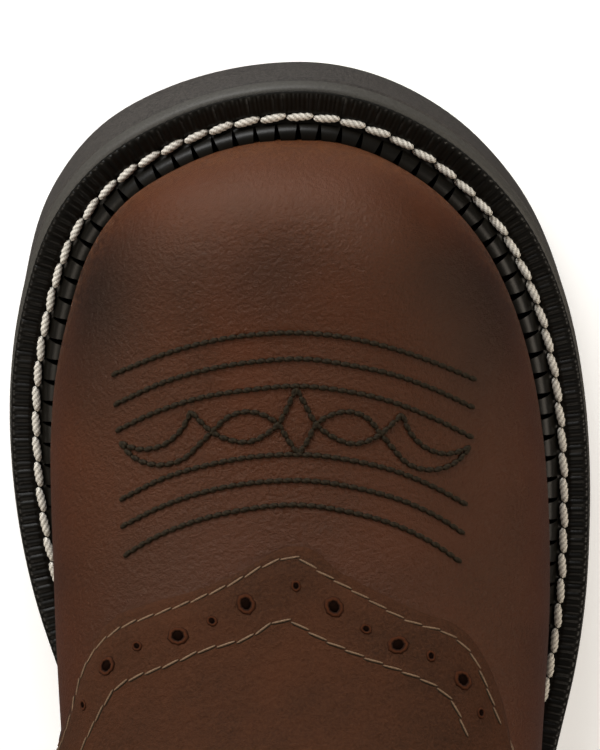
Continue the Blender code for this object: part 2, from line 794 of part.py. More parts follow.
def add_upper(bed):
    upper = add_object(upper_surface(), "upper", BOOT, material("Oiled leather", LEATHER_BROWN, 0.45))
    add_solidify(upper, UPPER_WALL, -1.0)
    add_boolean(upper, bed, "DIFFERENCE")


def side_cutter(name, outline, sides=(MEDIAL, LATERAL)):
    """A prism along X over an outline in side view, on one side of the boot or through both."""
    reach_out = BALL_WIDTH
    ends = [min(sides) * reach_out if MEDIAL in sides else 0.0, max(sides) * reach_out if LATERAL in sides else 0.0]
    bm = bmesh.new()
    prism(
        bm,
        outline,
        top=lambda points: [Vector((ends[1], y, z)) for y, z in points],
        bottom=lambda points: [Vector((ends[0], y, z)) for y, z in points],
    )
    bmesh.ops.recalc_face_normals(bm, faces=bm.faces)
    return add_cutter(bm, name)


def overlay(name, first, last, look):
    """Leather between two forms grown from the upper's own face."""
    item = add_object(upper_surface(first, last, grow=GAP), name, BOOT, look)
    add_solidify(item, OVERLAY_THICKNESS, 1.0)
    return item


def add_saddle():
    saddle = overlay("saddle", SADDLE_FIRST_ROW / FOOT_ROWS, 1.0, material("Saddle leather", SADDLE_BROWN, 0.55))
    front = [Vector((across * BALL_WIDTH, at_share(share), 0.0)) for across, share in SADDLE_FRONT[1:]]
    rear = [Vector((point.x, -HEEL_BACK, 0.0)) for point in (front[-1], front[0])]
    bm = bmesh.new()
    prism(
        bm,
        front + rear,
        top=lambda points: [point + Vector((0.0, 0.0, SHAFT_HEIGHT)) for point in points],
        bottom=lambda points: [point.copy() for point in points],
    )
    bmesh.ops.recalc_face_normals(bm, faces=bm.faces)
    add_boolean(saddle, add_cutter(bm, "saddle_front_cutter"), "INTERSECT")

    clear = WELT_THICKNESS + RIDGE_HEIGHT + 2 * GAP
    low = [at_share(share) for share in np.linspace(0.25, SADDLE_REAR[1][0], 12)]
    foot = [(y, footbed(y) + clear) for y in low]
    back = []
    for share, rise in SADDLE_REAR[2:]:
        y = at_share(share)
        back.append((y, footbed(y) + clear + rise * INSTEP_HEIGHT))
    outline = foot + back + [(foot[0][0], back[-1][1])]
    add_boolean(saddle, side_cutter("saddle_side_cutter", outline), "INTERSECT")


def add_counter():
    look = material("Counter leather", SADDLE_BROWN, 0.5)
    counter = overlay("counter", COUNTER_FIRST_ROW / FOOT_ROWS, 1 + COUNTER_LAST_ROW / SHAFT_ROWS, look)
    back = feather_ends()[1]
    seat = footbed(back)
    outline = [(back + forward * COUNTER_LENGTH, seat + rise * COUNTER_HEIGHT) for forward, rise in COUNTER_EDGE[1:]]
    outline.append((outline[-1][0], outline[0][1]))
    add_boolean(counter, side_cutter("counter_cutter", outline), "INTERSECT")


def shaft_middle():
    """Y of the middle of the collar."""
    section = shaft_section(2.0)
    return (section["bottom"].x + section["top"].x) / 2


def add_side_seams():
    look = material("Piping", PIPING_BROWN, 0.5)
    middle = shaft_middle()
    top = SHAFT_HEIGHT - STRAP_DROP - 2 * GAP
    left, right = middle - PIPING_WIDTH / 2, middle + PIPING_WIDTH / 2
    outline = [(left, PIPING_FOOT), (right, PIPING_FOOT), (right, top), (left, top)]
    for side, name in SIDE_NAMES.items():
        strip = overlay("side_seam_" + name, COUNTER_FIRST_ROW / FOOT_ROWS, 2.0, look)
        cutter = side_cutter("side_seam_cutter_" + name, outline, (side,))
        add_boolean(strip, cutter, "INTERSECT")


def add_collar_bead():
    """A rolled binding that rests on the rim of the shaft."""
    section = section_at(2.0)
    count = 4 * SIDE_COLUMNS
    points = [section_point(section, 2 * place / count - 1) for place in range(count)]
    line = bpy.data.curves.new("collar_bead", "CURVE")
    line.dimensions = "3D"
    line.bevel_depth = BEAD_RADIUS
    line.bevel_resolution = 1
    spline = line.splines.new("POLY")
    spline.points.add(count - 1)
    spline.use_cyclic_u = True
    for place, point in enumerate(points):
        along = points[(place + 1) % count] - points[place - 1]
        inwards = Vector((along.y, -along.x, 0.0)).normalized()
        middle = point + inwards * (UPPER_WALL / 2)
        spline.points[place].co = (*middle.xy, middle.z + BEAD_RADIUS + 3 * GAP, 1.0)
    bead = bpy.data.objects.new("collar_bead", line)
    BOOT.objects.link(bead)
    line.materials.append(material("Collar binding", PIPING_BROWN, 0.5))


def strap_path():
    """Outward offsets from the rim's outer face and heights over the rim, from outside over the top to inside."""
    middle = -UPPER_WALL / 2
    leg = UPPER_WALL / 2 + STRAP_CLEARANCE
    drops = [-STRAP_DROP * part for part in (1.0, 0.75, 0.5, 0.25)]
    outer = [(middle + leg, drop) for drop in drops]
    arch = []
    for rise, spread in STRAP_ARCH[1:-1]:
        wide = between(leg, STRAP_SPREAD, spread)
        arch.append((wide, rise * STRAP_RISE))
    outer += [(middle + wide, rise) for wide, rise in arch]
    crown = [(middle + leg, STRAP_RISE * 0.985), (middle, STRAP_RISE), (middle - leg, STRAP_RISE * 0.985)]
    inner = [(middle - wide, rise) for wide, rise in reversed(arch)]
    inner += [(middle - leg, drop) for drop in reversed(drops)]
    return outer + crown + inner


def add_pull_straps():
    look = material("Pull strap", STRAP_BROWN, 0.6)
    middle = shaft_middle()
    for side, name in SIDE_NAMES.items():
        columns = []
        for step in range(STRAP_COLUMNS):
            y = middle + STRAP_WIDTH * (step / (STRAP_COLUMNS - 1) - 0.5)
            points = []
            for out, rise in strap_path():
                z = SHAFT_HEIGHT + rise
                half = half_at(side, y, min(z, SHAFT_HEIGHT)) + out
                points.append(Vector((side * half, y, z)))
            columns.append(points)
        bm = bmesh.new()
        add_loft(bm, columns, closed=False)
        bmesh.ops.recalc_face_normals(bm, faces=bm.faces)
        crown = max(bm.faces, key=lambda face: face.calc_center_median().z)
        if crown.normal.z < 0:
            bmesh.ops.reverse_faces(bm, faces=bm.faces)
        strap = add_object(bm, "pull_strap_" + name, BOOT, look)
        add_solidify(strap, STRAP_THICKNESS, 1.0)


clear_scene()
BOOT = new_collection("western_work_boot")
CUTTERS = new_collection("cutters")
bed_cutter = add_bed_cutter()
add_outsole()
add_midsole()
add_welt(bed_cutter)
add_heel()
add_insole(bed_cutter)
add_upper(bed_cutter)
add_saddle()
add_counter()
add_side_seams()
add_collar_bead()
add_pull_straps()
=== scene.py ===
# %% [markdown]
# A pull-on western work boot, right foot, dressed over its imported solids.
# The solids come in as a fixed frame in metres: +Y is the toe, +X the outer side, +Z up.
# Every form below but the insole is made again at a fine pitch from the same sizes, so that no facet shows
# close up.

# %% Load the frame
import functools
import math

import bmesh
import bpy
import numpy as np
from mathutils import Matrix, Vector
from mathutils.bvhtree import BVHTree


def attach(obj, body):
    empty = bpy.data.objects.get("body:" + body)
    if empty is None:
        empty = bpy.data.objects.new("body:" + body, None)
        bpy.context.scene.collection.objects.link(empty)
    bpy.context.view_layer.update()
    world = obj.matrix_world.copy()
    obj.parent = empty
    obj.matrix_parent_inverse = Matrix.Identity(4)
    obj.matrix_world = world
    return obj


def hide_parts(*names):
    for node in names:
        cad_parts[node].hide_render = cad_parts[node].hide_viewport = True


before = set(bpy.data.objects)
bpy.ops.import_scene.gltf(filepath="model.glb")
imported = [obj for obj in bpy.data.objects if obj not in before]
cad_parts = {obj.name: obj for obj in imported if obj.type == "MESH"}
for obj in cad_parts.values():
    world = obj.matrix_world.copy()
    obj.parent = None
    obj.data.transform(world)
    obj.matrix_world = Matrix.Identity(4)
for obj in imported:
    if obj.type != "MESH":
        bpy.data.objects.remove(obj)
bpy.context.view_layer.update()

print("solids:", sorted(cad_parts))

# %% [markdown]
# A boot is built on a last, so nearly every size follows from a few of the last's: its length, the width
# over the ball, the heights of toe box and instep, and the heel. The layers of the bottom stack up under it.

# %% Sizes in metres
SOLE_LENGTH = 0.270
BALL_WIDTH = 0.104
HEEL_BACK = 0.035
TOE_SPRING = 0.014
HEEL_HEIGHT = 0.027
TOE_BOX_HEIGHT = 0.0440
INSTEP_HEIGHT = 0.1250
SHAFT_HEIGHT = 0.2350
SHAFT_DEPTH = 0.1260
SHAFT_WIDTH = 0.0880
SHAFT_LEAN = 0.0090
BACK_CURVE = 0.0100
SCALLOP_DEPTH = 0.0220
HEEL_ROUND = 0.4
OUTSOLE_THICKNESS = 0.0080
MIDSOLE_THICKNESS = 0.0028
WELT_THICKNESS = 0.0024
RIDGE_HEIGHT = 0.0024
SOLE_UNDERCUT = 0.0006
SOLE_BEVEL = 0.0008
GAP = 0.0003
BED_HEIGHT = OUTSOLE_THICKNESS + MIDSOLE_THICKNESS + 2 * GAP
FLAT_FROM = 0.315
FLAT_TO = 0.400
SEAT_FROM = 0.715
HEEL_BREAST = 0.735
SPRING_CURVE = 2.6
UPPER_WALL = 0.0024
UPPER_REACH = 0.0090
TOE_FLARE = 0.0016
TOE_LEAN = 0.0012
OVERLAY_THICKNESS = 0.0014
GIRTH_ACROSS = 0.66
ROUNDING_MOVES = (-0.50, -0.33, -0.17, 0.0, 0.17, 0.33, 0.50)
FOOT_HOLD = 8
MEDIAL, LATERAL = -1, 1
X_AXIS, Z_AXIS = 0, 2
OVERLAY_LIFT = 0.0002
MERGE = 1e-6
SIDE_NAMES = {MEDIAL: "medial", LATERAL: "lateral"}
TOE_TIP = SOLE_LENGTH - HEEL_BACK

# %% [markdown]
# What can't be said with one size is a table, in shares of those sizes, so that a boot of another size keeps
# its shape. The first column is the place, from toe to heel or up the shaft.

# %% Outline of the sole and sections of last and shaft
OUTLINE = (
    ("from_toe", "medial", "lateral"),
    (0.000, 0.000, 0.000), (0.020, 0.223, 0.193), (0.050, 0.344, 0.301), (0.090, 0.424, 0.388),
    (0.140, 0.470, 0.448), (0.200, 0.496, 0.485), (0.250, 0.497, 0.498), (0.300, 0.484, 0.500),
    (0.350, 0.457, 0.494), (0.400, 0.416, 0.476), (0.440, 0.380, 0.452), (0.500, 0.334, 0.411),
    (0.580, 0.300, 0.370), (0.660, 0.294, 0.343), (0.760, 0.312, 0.328), (0.860, 0.325, 0.325),
    (0.930, 0.289, 0.288), (0.975, 0.203, 0.202), (1.000, 0.000, 0.000),
)
REACH = (
    ("from_toe", "medial", "lateral"),
    (0.00, 1.00, 1.00), (0.15, 1.07, 1.10), (0.30, 1.02, 1.09), (0.45, 0.86, 1.00),
    (0.60, 0.77, 0.86), (0.70, 0.68, 0.70), (0.80, 0.42, 0.42), (1.00, 0.35, 0.35),
)
FLARE = (
    ("from_toe", "medial", "lateral"),
    (0.00, 0.00, 0.00), (0.03, 0.90, 0.35), (0.08, 1.00, 0.40), (0.15, 0.50, 0.30),
    (0.25, 0.10, 0.10), (0.35, 0.00, 0.00), (1.00, 0.00, 0.00),
)
LAST = (
    ("station", "top_back", "toe_rise", "instep_rise", "medial", "lateral", "girth", "crown", "rounding"),
    (0.0000, 0.0000, 0.000, 0.000, 0.000, 0.000, 0.34, 2.20, 0.00),
    (0.0417, 0.0000, 0.330, 0.000, 0.050, 0.050, 0.34, 2.20, 0.00),
    (0.0833, 0.0075, 0.570, 0.000, 0.110, 0.110, 0.34, 2.20, 0.00),
    (0.1250, 0.0240, 0.740, 0.000, 0.180, 0.170, 0.35, 2.20, 0.00),
    (0.1667, 0.0520, 0.860, 0.000, 0.250, 0.230, 0.36, 2.20, 0.00),
    (0.2083, 0.0900, 0.940, 0.000, 0.310, 0.290, 0.37, 2.20, 0.00),
    (0.2500, 0.1350, 0.985, 0.005, 0.355, 0.340, 0.38, 2.20, 0.00),
    (0.2917, 0.1840, 1.000, 0.025, 0.390, 0.378, 0.39, 2.20, 0.00),
    (0.3333, 0.2360, 1.000, 0.070, 0.408, 0.402, 0.40, 2.15, 0.00),
    (0.3750, 0.2900, 1.000, 0.130, 0.410, 0.410, 0.41, 2.10, 0.00),
    (0.4167, 0.3420, 1.000, 0.210, 0.404, 0.408, 0.42, 2.05, 0.00),
    (0.4583, 0.3880, 1.000, 0.310, 0.394, 0.400, 0.43, 2.00, 0.00),
    (0.5000, 0.4250, 1.000, 0.420, 0.383, 0.390, 0.44, 2.00, 0.00),
    (0.5833, 0.4780, 1.000, 0.620, 0.365, 0.372, 0.45, 2.00, 0.00),
    (0.6667, 0.5060, 1.000, 0.760, 0.355, 0.360, 0.46, 2.00, 0.20),
    (0.7500, 0.5180, 1.000, 0.845, 0.350, 0.353, 0.46, 2.00, 0.70),
    (0.8333, 0.5230, 1.000, 0.905, 0.348, 0.350, 0.46, 2.00, 1.00),
    (0.9167, 0.5240, 1.000, 0.955, 0.347, 0.348, 0.46, 2.00, 1.00),
    (1.0000, 0.5235, 1.000, 1.000, 0.347, 0.347, 0.46, 2.00, 1.00),
)
SHAFT = (
    ("station", "back_lean", "hollow", "back_rise", "front", "front_rise", "wide", "girth", "dip"),
    (1.00, 0.00, 0.00, 0.000, 0.00, 0.000, 0.00, 0.460, 0.00),
    (1.10, 0.05, -0.26, 0.105, -0.20, 0.095, 0.00, 0.462, 0.00),
    (1.20, 0.10, -0.16, 0.210, -0.35, 0.190, 0.02, 0.466, 0.00),
    (1.30, 0.17, 0.28, 0.315, -0.40, 0.290, 0.08, 0.471, 0.00),
    (1.40, 0.26, 0.62, 0.420, -0.33, 0.390, 0.18, 0.476, 0.02),
    (1.50, 0.37, 0.72, 0.520, -0.15, 0.490, 0.31, 0.482, 0.08),
    (1.60, 0.49, 0.60, 0.620, 0.10, 0.590, 0.46, 0.488, 0.20),
    (1.70, 0.62, 0.40, 0.720, 0.36, 0.695, 0.61, 0.493, 0.38),
    (1.80, 0.75, 0.21, 0.815, 0.60, 0.800, 0.76, 0.497, 0.60),
    (1.90, 0.88, 0.07, 0.908, 0.81, 0.900, 0.89, 0.500, 0.81),
    (2.00, 1.00, 0.00, 1.000, 1.00, 1.000, 1.00, 0.500, 1.00),
)
SADDLE_REAR = (
    ("rise", "from_toe"),
    (0.000, 0.680), (0.200, 0.650), (0.400, 0.610), (0.600, 0.560), (0.820, 0.490), (1.050, 0.420),
)
COUNTER_EDGE = (
    ("forward", "rise"),
    (1.00, 0.01), (0.97, 0.20), (0.86, 0.48), (0.66, 0.72), (0.42, 0.90), (0.20, 0.98), (-0.30, 1.02),
)
STRAP_ARCH = (
    ("rise", "spread"),
    (0.00, 0.00), (0.14, 0.10), (0.32, 0.48), (0.54, 0.86), (0.74, 1.00), (0.90, 0.66), (1.00, 0.00),
)


# %% [markdown]
# A table is read with a smooth curve through its rows. Straight lines between them would show as facets.

# %% Reading a table smoothly
@functools.lru_cache(maxsize=None)
def column(table, name, by_turn):
    rows = np.array(table[1:])
    places = np.arccos(1 - 2 * rows[:, 0]) if by_turn else rows[:, 0]
    values = rows[:, table[0].index(name)]
    return places, values, np.gradient(values, places)


def read(table, name, at, by_turn=False):
    """Smooth value of a table's column at a place in its first column, or at a turn round the edge."""
    places, values, slopes = column(table, name, by_turn)
    at = min(max(at, places[0]), places[-1])
    row = min(int(np.searchsorted(places, at, side="right")) - 1, len(places) - 2)
    span = places[row + 1] - places[row]
    part = (at - places[row]) / span
    rise = values[row + 1] - values[row]
    ease = part * part * (3 - 2 * part)
    bend = part * (1 - part) * span * ((1 - part) * slopes[row] - part * slopes[row + 1])
    return float(values[row] + rise * ease + bend)


def smooth_step(part):
    part = min(max(part, 0.0), 1.0)
    return part * part * (3 - 2 * part)


def between(start, end, part):
    return start + (end - start) * part


# %% [markdown]
# The sole's edge is walked by a turn: 0 at the toe, positive on the outer side, pi at the heel.
# Where the toe springs up, the layers stay square to the bent sole, and that is why its front wall
# can be seen from above.

# %% The bottom's shape
def from_toe(y):
    return (TOE_TIP - y) / SOLE_LENGTH


def at_share(share):
    return TOE_TIP - share * SOLE_LENGTH


def turn_of(share):
    return math.acos(1 - 2 * min(max(share, 0.0), 1.0))


def ground(y):
    share = from_toe(y)
    spring = TOE_SPRING * max(1 - share / FLAT_FROM, 0.0) ** SPRING_CURVE
    return spring + HEEL_HEIGHT * smooth_step((share - FLAT_TO) / (SEAT_FROM - FLAT_TO))


def footbed(y):
    return ground(y) + BED_HEIGHT


def plain_edge(turn):
    turn = (turn + math.pi) % math.tau - math.pi
    side = LATERAL if turn > 0 else MEDIAL
    half = read(OUTLINE, SIDE_NAMES[side], abs(turn), by_turn=True) * BALL_WIDTH
    return Vector((side * half, at_share((1 - math.cos(turn)) / 2)))


@functools.lru_cache(maxsize=None)
def edge_and_inward(turn):
    step = 0.002
    along = (plain_edge(turn + step) - plain_edge(turn - step)).normalized()
    return plain_edge(turn), Vector((along.y, -along.x))


def edge(turn, inset):
    place, inward = edge_and_inward(turn)
    return place + inward * inset


def on_sole(turn, inset, height):
    """Point of the bottom's layers at an inset from the edge and a height over the sole's underside."""
    depth = max(BED_HEIGHT - height, 0.0)
    side = SIDE_NAMES[LATERAL if turn > 0 else MEDIAL]
    flare = TOE_FLARE * read(FLARE, side, (1 - math.cos(turn)) / 2) * depth / BED_HEIGHT if depth else 0.0
    point = edge(turn, inset - flare)
    left = max(1 - from_toe(point.y) / FLAT_FROM, 0.0)
    slope = TOE_SPRING * SPRING_CURVE / (FLAT_FROM * SOLE_LENGTH) * left ** (SPRING_CURVE - 1)
    fall = depth / math.hypot(1.0, slope)
    return Vector((point.x, point.y + fall * slope, ground(point.y) + height + depth - fall))


# %% [markdown]
# Sections of the last run from the toe (station 0) to the back of the heel (1) and up to the collar (2).
# Across a section goes from -1 at its inner foot over 0 on top to 1 at its outer foot.

# %% The upper's shape
def reach(turn):
    side = LATERAL if turn > 0 else MEDIAL
    return UPPER_REACH * read(REACH, SIDE_NAMES[side], (1 - math.cos(turn)) / 2)


@functools.lru_cache(maxsize=None)
def feather_line(side):
    points = [edge(side * turn, reach(side * turn)) for turn in np.linspace(0.0, math.pi, 181)]
    points[0].x = points[-1].x = 0.0
    ys = np.array([point.y for point in points])
    part = np.arccos(np.clip(1 - 2 * (ys[0] - ys) / (ys[0] - ys[-1]), -1.0, 1.0))
    return ys, part, np.array([side * point.x for point in points])


def feather_half(side, y):
    ys, part, halves = feather_line(side)
    here = math.acos(min(max(1 - 2 * (ys[0] - y) / (ys[0] - ys[-1]), -1.0), 1.0))
    return float(np.interp(here, part, halves))


@functools.lru_cache(maxsize=None)
def plain_section(station):
    if station > 1:
        return shaft_section(station)
    ys = feather_line(LATERAL)[0]
    y = between(ys[0], ys[-1], (1 - math.cos(math.pi * station)) / 2)
    top_y = ys[0] - read(LAST, "top_back", station) * SOLE_LENGTH
    rise = read(LAST, "toe_rise", station) * TOE_BOX_HEIGHT
    rise += read(LAST, "instep_rise", station) * (INSTEP_HEIGHT - TOE_BOX_HEIGHT)
    section = {
        "bottom": Vector((y, footbed(y))),
        "top": Vector((top_y, footbed(top_y) + rise)),
        "girth": read(LAST, "girth", station),
        "crown": read(LAST, "crown", station),
        "rounding": read(LAST, "rounding", station),
        "dip": 0.0,
    }
    for side, name in SIDE_NAMES.items():
        foot = feather_half(side, y)
        leaning = foot + TOE_LEAN * math.sin(math.pi * min(station, 0.5))
        full = read(LAST, name, station) * BALL_WIDTH
        section[side] = (leaning + full + math.hypot(leaning - full, TOE_LEAN * min(station * 8, 1.0))) / 2
        section[side, "foot"] = foot
    return section


def shaft_section(station):
    base = plain_section(1.0)
    collar_back = base["bottom"].x - SHAFT_LEAN
    back_y = base["bottom"].x - SHAFT_LEAN * read(SHAFT, "back_lean", station)
    back_y += BACK_CURVE * read(SHAFT, "hollow", station)
    section = {
        "bottom": Vector(
            (back_y, between(base["bottom"].y, SHAFT_HEIGHT, read(SHAFT, "back_rise", station)))
        ),
        "top": Vector((
            between(base["top"].x, collar_back + SHAFT_DEPTH, read(SHAFT, "front", station)),
            between(base["top"].y, SHAFT_HEIGHT, read(SHAFT, "front_rise", station)),
        )),
        "girth": read(SHAFT, "girth", station),
        "crown": 2.0,
        "rounding": 1.0,
        "dip": SCALLOP_DEPTH * read(SHAFT, "dip", station),
    }
    for side in SIDE_NAMES:
        section[side] = between(base[side], SHAFT_WIDTH / 2, read(SHAFT, "wide", station))
        section[side, "foot"] = 0.0
    return section


@functools.lru_cache(maxsize=None)
def section_at(station):
    section = dict(plain_section(station))
    section["inner_bottom"] = section["bottom"]
    near = 1 - abs(station - 1) / HEEL_ROUND
    if near > 0:
        share = smooth_step(near)
        around = [plain_section(station + HEEL_ROUND * move) for move in ROUNDING_MOVES]
        for end, kept in (("bottom", "inner_bottom"), ("top", "top")):
            mean = sum((other[end] for other in around), Vector((0.0, 0.0))) / len(around)
            section[kept] = section[end].lerp(mean, share)
    return section


def upper_point(station, across):
    section = section_at(station)
    side = LATERAL if across > 0 else MEDIAL
    part = abs(across)
    wide, foot, girth = section[side], section[side, "foot"], section["girth"]
    if part <= GIRTH_ACROSS:
        angle = (1 - part / GIRTH_ACROSS) * math.pi / 2
        power = 2 / section["crown"]
        half = wide * max(math.cos(angle), 0.0) ** power if part else 0.0
        height = girth + (1 - girth) * math.sin(angle) ** power
    else:
        fall = math.sin((part - GIRTH_ACROSS) / (1 - GIRTH_ACROSS) * math.pi / 2)
        power = 1 + section["rounding"]
        half = max(wide ** power - fall * fall * (wide ** power - foot ** power), 0.0) ** (1 / power)
        height = girth * (1 - fall)
    base = section["inner_bottom"].lerp(section["bottom"], (1 - height) ** FOOT_HOLD)
    place = base.lerp(section["top"], height)
    return Vector((side * half, place.x, place.y - section["dip"] * math.cos(math.pi * part) ** 2))


def upper_normal(station, across):
    """Outward direction of the upper's face."""
    low, high = max(station - 0.004, 0.001), min(station + 0.004, 2.0)
    left, right = max(across - 0.004, -1.0), min(across + 0.004, 1.0)
    along = upper_point(high, across) - upper_point(low, across)
    over = upper_point(station, right) - upper_point(station, left)
    return over.cross(along).normalized()


print("toe box point:", upper_point(0.3, 0.0), "normal:", upper_normal(0.3, 0.0))

# %% [markdown]
# The photograph was taken from high above the toe, a little in front of it. A long lens keeps the sole's
# outline nearly free of perspective. The image is 600 by 750, and its long side is the sensor's width.

# %% Camera
TILT = math.radians(10.0)
VIEW_DISTANCE = 0.760
VIEW_POINT = Vector((0.0, 0.1881, 0.045))
PIXELS = 4457
looking = Vector((0.0, -math.sin(TILT), -math.cos(TILT)))
image_up = Vector((0.0, math.cos(TILT), -math.sin(TILT)))
CAMERA_PLACE = VIEW_POINT - looking * VIEW_DISTANCE

camera = bpy.data.objects.new("camera", bpy.data.cameras.new("camera"))
bpy.context.scene.collection.objects.link(camera)
camera.data.lens = PIXELS / 750 * 36
camera.location = CAMERA_PLACE
camera.rotation_euler = (-TILT, 0.0, 0.0)
bpy.context.scene.camera = camera


def ray_through(column_px, row_px):
    """Direction from the camera through a pixel of the 600 by 750 image."""
    return (
        looking * PIXELS + Vector((1, 0, 0)) * (column_px - 300) + image_up * (375 - row_px)
    ).normalized()


print("camera at", CAMERA_PLACE)

# %% [markdown]
# Product light: one big soft lamp stands low before the toe, a little to the left, and gives the leather
# its broad pale gleam. Weaker and warmer ones from both sides and from behind keep the brown of the sides
# rich, and a dim white room leaves black rubber black.

# %% Lights and floor
def add_softbox(name, place, target, size, watts, colour=(1.0, 1.0, 1.0)):
    lamp = bpy.data.lights.new(name, "AREA")
    lamp.shape = "RECTANGLE"
    lamp.size, lamp.size_y = size
    lamp.energy = watts
    lamp.color = colour
    item = bpy.data.objects.new(name, lamp)
    bpy.context.scene.collection.objects.link(item)
    item.location = place
    item.rotation_euler = (Vector(target) - Vector(place)).to_track_quat("-Z", "Y").to_euler()


WARM = (1.0, 0.88, 0.74)
add_softbox("softbox_front", (-0.40, 1.15, 0.46), (0.0, 0.17, 0.04), (1.00, 0.50), 20.0)
add_softbox("softbox_left", (-0.95, 0.12, 0.55), (0.0, 0.12, 0.05), (0.50, 0.50), 4.8, WARM)
add_softbox("softbox_right", (1.00, 0.12, 0.50), (0.0, 0.12, 0.05), (0.50, 0.50), 7.2, WARM)
add_softbox("softbox_back", (0.0, -0.95, 0.90), (0.0, 0.05, 0.08), (0.80, 0.50), 5.2, WARM)

room = bpy.data.worlds.new("room")
bpy.context.scene.world = room
room.use_nodes = True
room.node_tree.nodes["Background"].inputs["Color"].default_value = (1.0, 1.0, 1.0, 1.0)
room.node_tree.nodes["Background"].inputs["Strength"].default_value = 0.10
bpy.context.scene.view_settings.view_transform = "Standard"

# %% [markdown]
# Colours are sRGB hex values, as read from a picture. Blender's shaders work in linear light, so one
# function turns them. One more adds a node with its settings and its links.

# %% Colours and nodes
def linear(sheet_colour):
    values = [int(sheet_colour[place:place + 2], 16) / 255 for place in (1, 3, 5)]
    return tuple(
        value / 12.92 if value <= 0.04045 else ((value + 0.055) / 1.055) ** 2.4 for value in values
    ) + (1.0,)


def add_node(look, kind, inputs=None, **settings):
    """A node with its settings, and its inputs as values or as links from other nodes' sockets."""
    made = look.node_tree.nodes.new(kind)
    for name, value in settings.items():
        setattr(made, name, value)
    for name, value in (inputs or {}).items():
        if isinstance(value, bpy.types.NodeSocket):
            look.node_tree.links.new(value, made.inputs[name])
        else:
            made.inputs[name].default_value = value
    return made


MIX_PART, MIX_FROM, MIX_TO, MIX_RESULT = 0, 6, 7, 2


def new_look(name, **sockets):
    """A material with a Principled shader and constant values on its sockets."""
    look = bpy.data.materials.new(name)
    look.use_nodes = True
    shader = look.node_tree.nodes["Principled BSDF"]
    for socket, value in sockets.items():
        shader.inputs[socket.replace("_", " ")].default_value = value
    return look, shader


MILLIMETRE = 0.001


def two_tone(name, dark, light, size, detail, **sockets):
    """A material whose colour wanders between two tones in clouds of one size, its shader, and its places."""
    look, shader = new_look(name, **sockets)
    where = add_node(look, "ShaderNodeTexCoord").outputs["Object"]
    clouds = add_node(
        look, "ShaderNodeTexNoise", {"Vector": where, "Scale": 1 / size, "Detail": detail}
    ).outputs["Fac"]
    tint = add_node(
        look, "ShaderNodeMix", {MIX_PART: clouds, MIX_FROM: linear(dark), MIX_TO: linear(light)},
        data_type="RGBA"
    ).outputs[MIX_RESULT]
    look.node_tree.links.new(tint, shader.inputs["Base Color"])
    return look, shader, where


print("one function each for colour, node and material, and one for plain two-tone materials")

# %% [markdown]
# Floor: plain pale card. It gets only a faint mottling, because it isn't part of the boot, and it is kept
# out of reflections, as a photographer's black flags keep a white table off the sides of a shoe. It is given
# a faint glow, painted light that lightens the boot's shadows on it and keeps the ground white beside the
# boot.

# %% Floor
# Painted glow of the floor, which lightens the boot's shadows on it.
PAINTED_FLOOR_GLOW = 0.30
card, _, _ = two_tone(
    "Pale card", "#fbfbfa", "#f8f8f7", 0.2, 2.0, Roughness=0.9, Emission_Color=(1.0, 1.0, 1.0, 1.0),
    Emission_Strength=PAINTED_FLOOR_GLOW
)
sheet = bmesh.new()
bmesh.ops.create_grid(sheet, x_segments=2, y_segments=2, size=6.0)
floor_mesh = bpy.data.meshes.new("floor")
sheet.to_mesh(floor_mesh)
sheet.free()
floor = bpy.data.objects.new("floor", floor_mesh)
floor_mesh.materials.append(card)
bpy.context.scene.collection.objects.link(floor)
floor.visible_glossy = False


# %% [markdown]
# Most pieces start as a flat grid whose points are carried onto the boot's own surface. A ring is the same
# grid with its two ends welded together.

# %% Grids and pieces
def carried_grid(columns, rows, place, weld=False):
    """A grid whose points go to place(u, v), with u and v from 0 to 1, and whose UVs keep u and v."""
    bm = bmesh.new()
    bmesh.ops.create_grid(bm, x_segments=columns, y_segments=rows, size=0.5)
    layer = bm.loops.layers.uv.new("UVMap")
    for face in bm.faces:
        for loop in face.loops:
            loop[layer].uv = (loop.vert.co.x + 0.5, loop.vert.co.y + 0.5)
    for vert in bm.verts:
        vert.co = place(vert.co.x + 0.5, vert.co.y + 0.5)
    if weld:
        bmesh.ops.remove_doubles(bm, verts=bm.verts, dist=MERGE)
    return bm


def face_outwards(bm, axis):
    """Turns all faces outwards, judged by the face that lies farthest along an axis."""
    bmesh.ops.recalc_face_normals(bm, faces=bm.faces)
    farthest = max(bm.faces, key=lambda face: face.calc_center_median()[axis])
    if farthest.normal[axis] < 0:
        bmesh.ops.reverse_faces(bm, faces=bm.faces)
    bm.normal_update()


def finish_piece(bm, name, looks, replaced=(), sharp=40):
    """Makes the mesh an object at the origin that rides on the boot."""
    mesh = bpy.data.meshes.new(name)
    bm.to_mesh(mesh)
    bm.free()
    item = bpy.data.objects.new(name, mesh)
    bpy.context.scene.collection.objects.link(item)
    for look in looks:
        mesh.materials.append(look)
    mesh.shade_smooth()
    if sharp:
        mesh.set_sharp_from_angle(angle=math.radians(sharp))
    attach(item, "root")
    if replaced:
        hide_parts(*replaced)
    print(name, len(mesh.polygons), "faces")
    return item


# %% [markdown]
# Where one piece is cut to fit, or grooves are pressed in, a second form does it with a Boolean. It is
# applied at once, so the piece keeps only its own final mesh. A cut leaves specks and corners that only two
# edges share. These fold into flaps when the mesh is turned into triangles, so both are dissolved.

# %% Cutting one form with another
def plain_object(bm, name):
    mesh = bpy.data.meshes.new(name)
    bm.to_mesh(mesh)
    bm.free()
    item = bpy.data.objects.new(name, mesh)
    bpy.context.scene.collection.objects.link(item)
    return item


SPECK = 5e-6


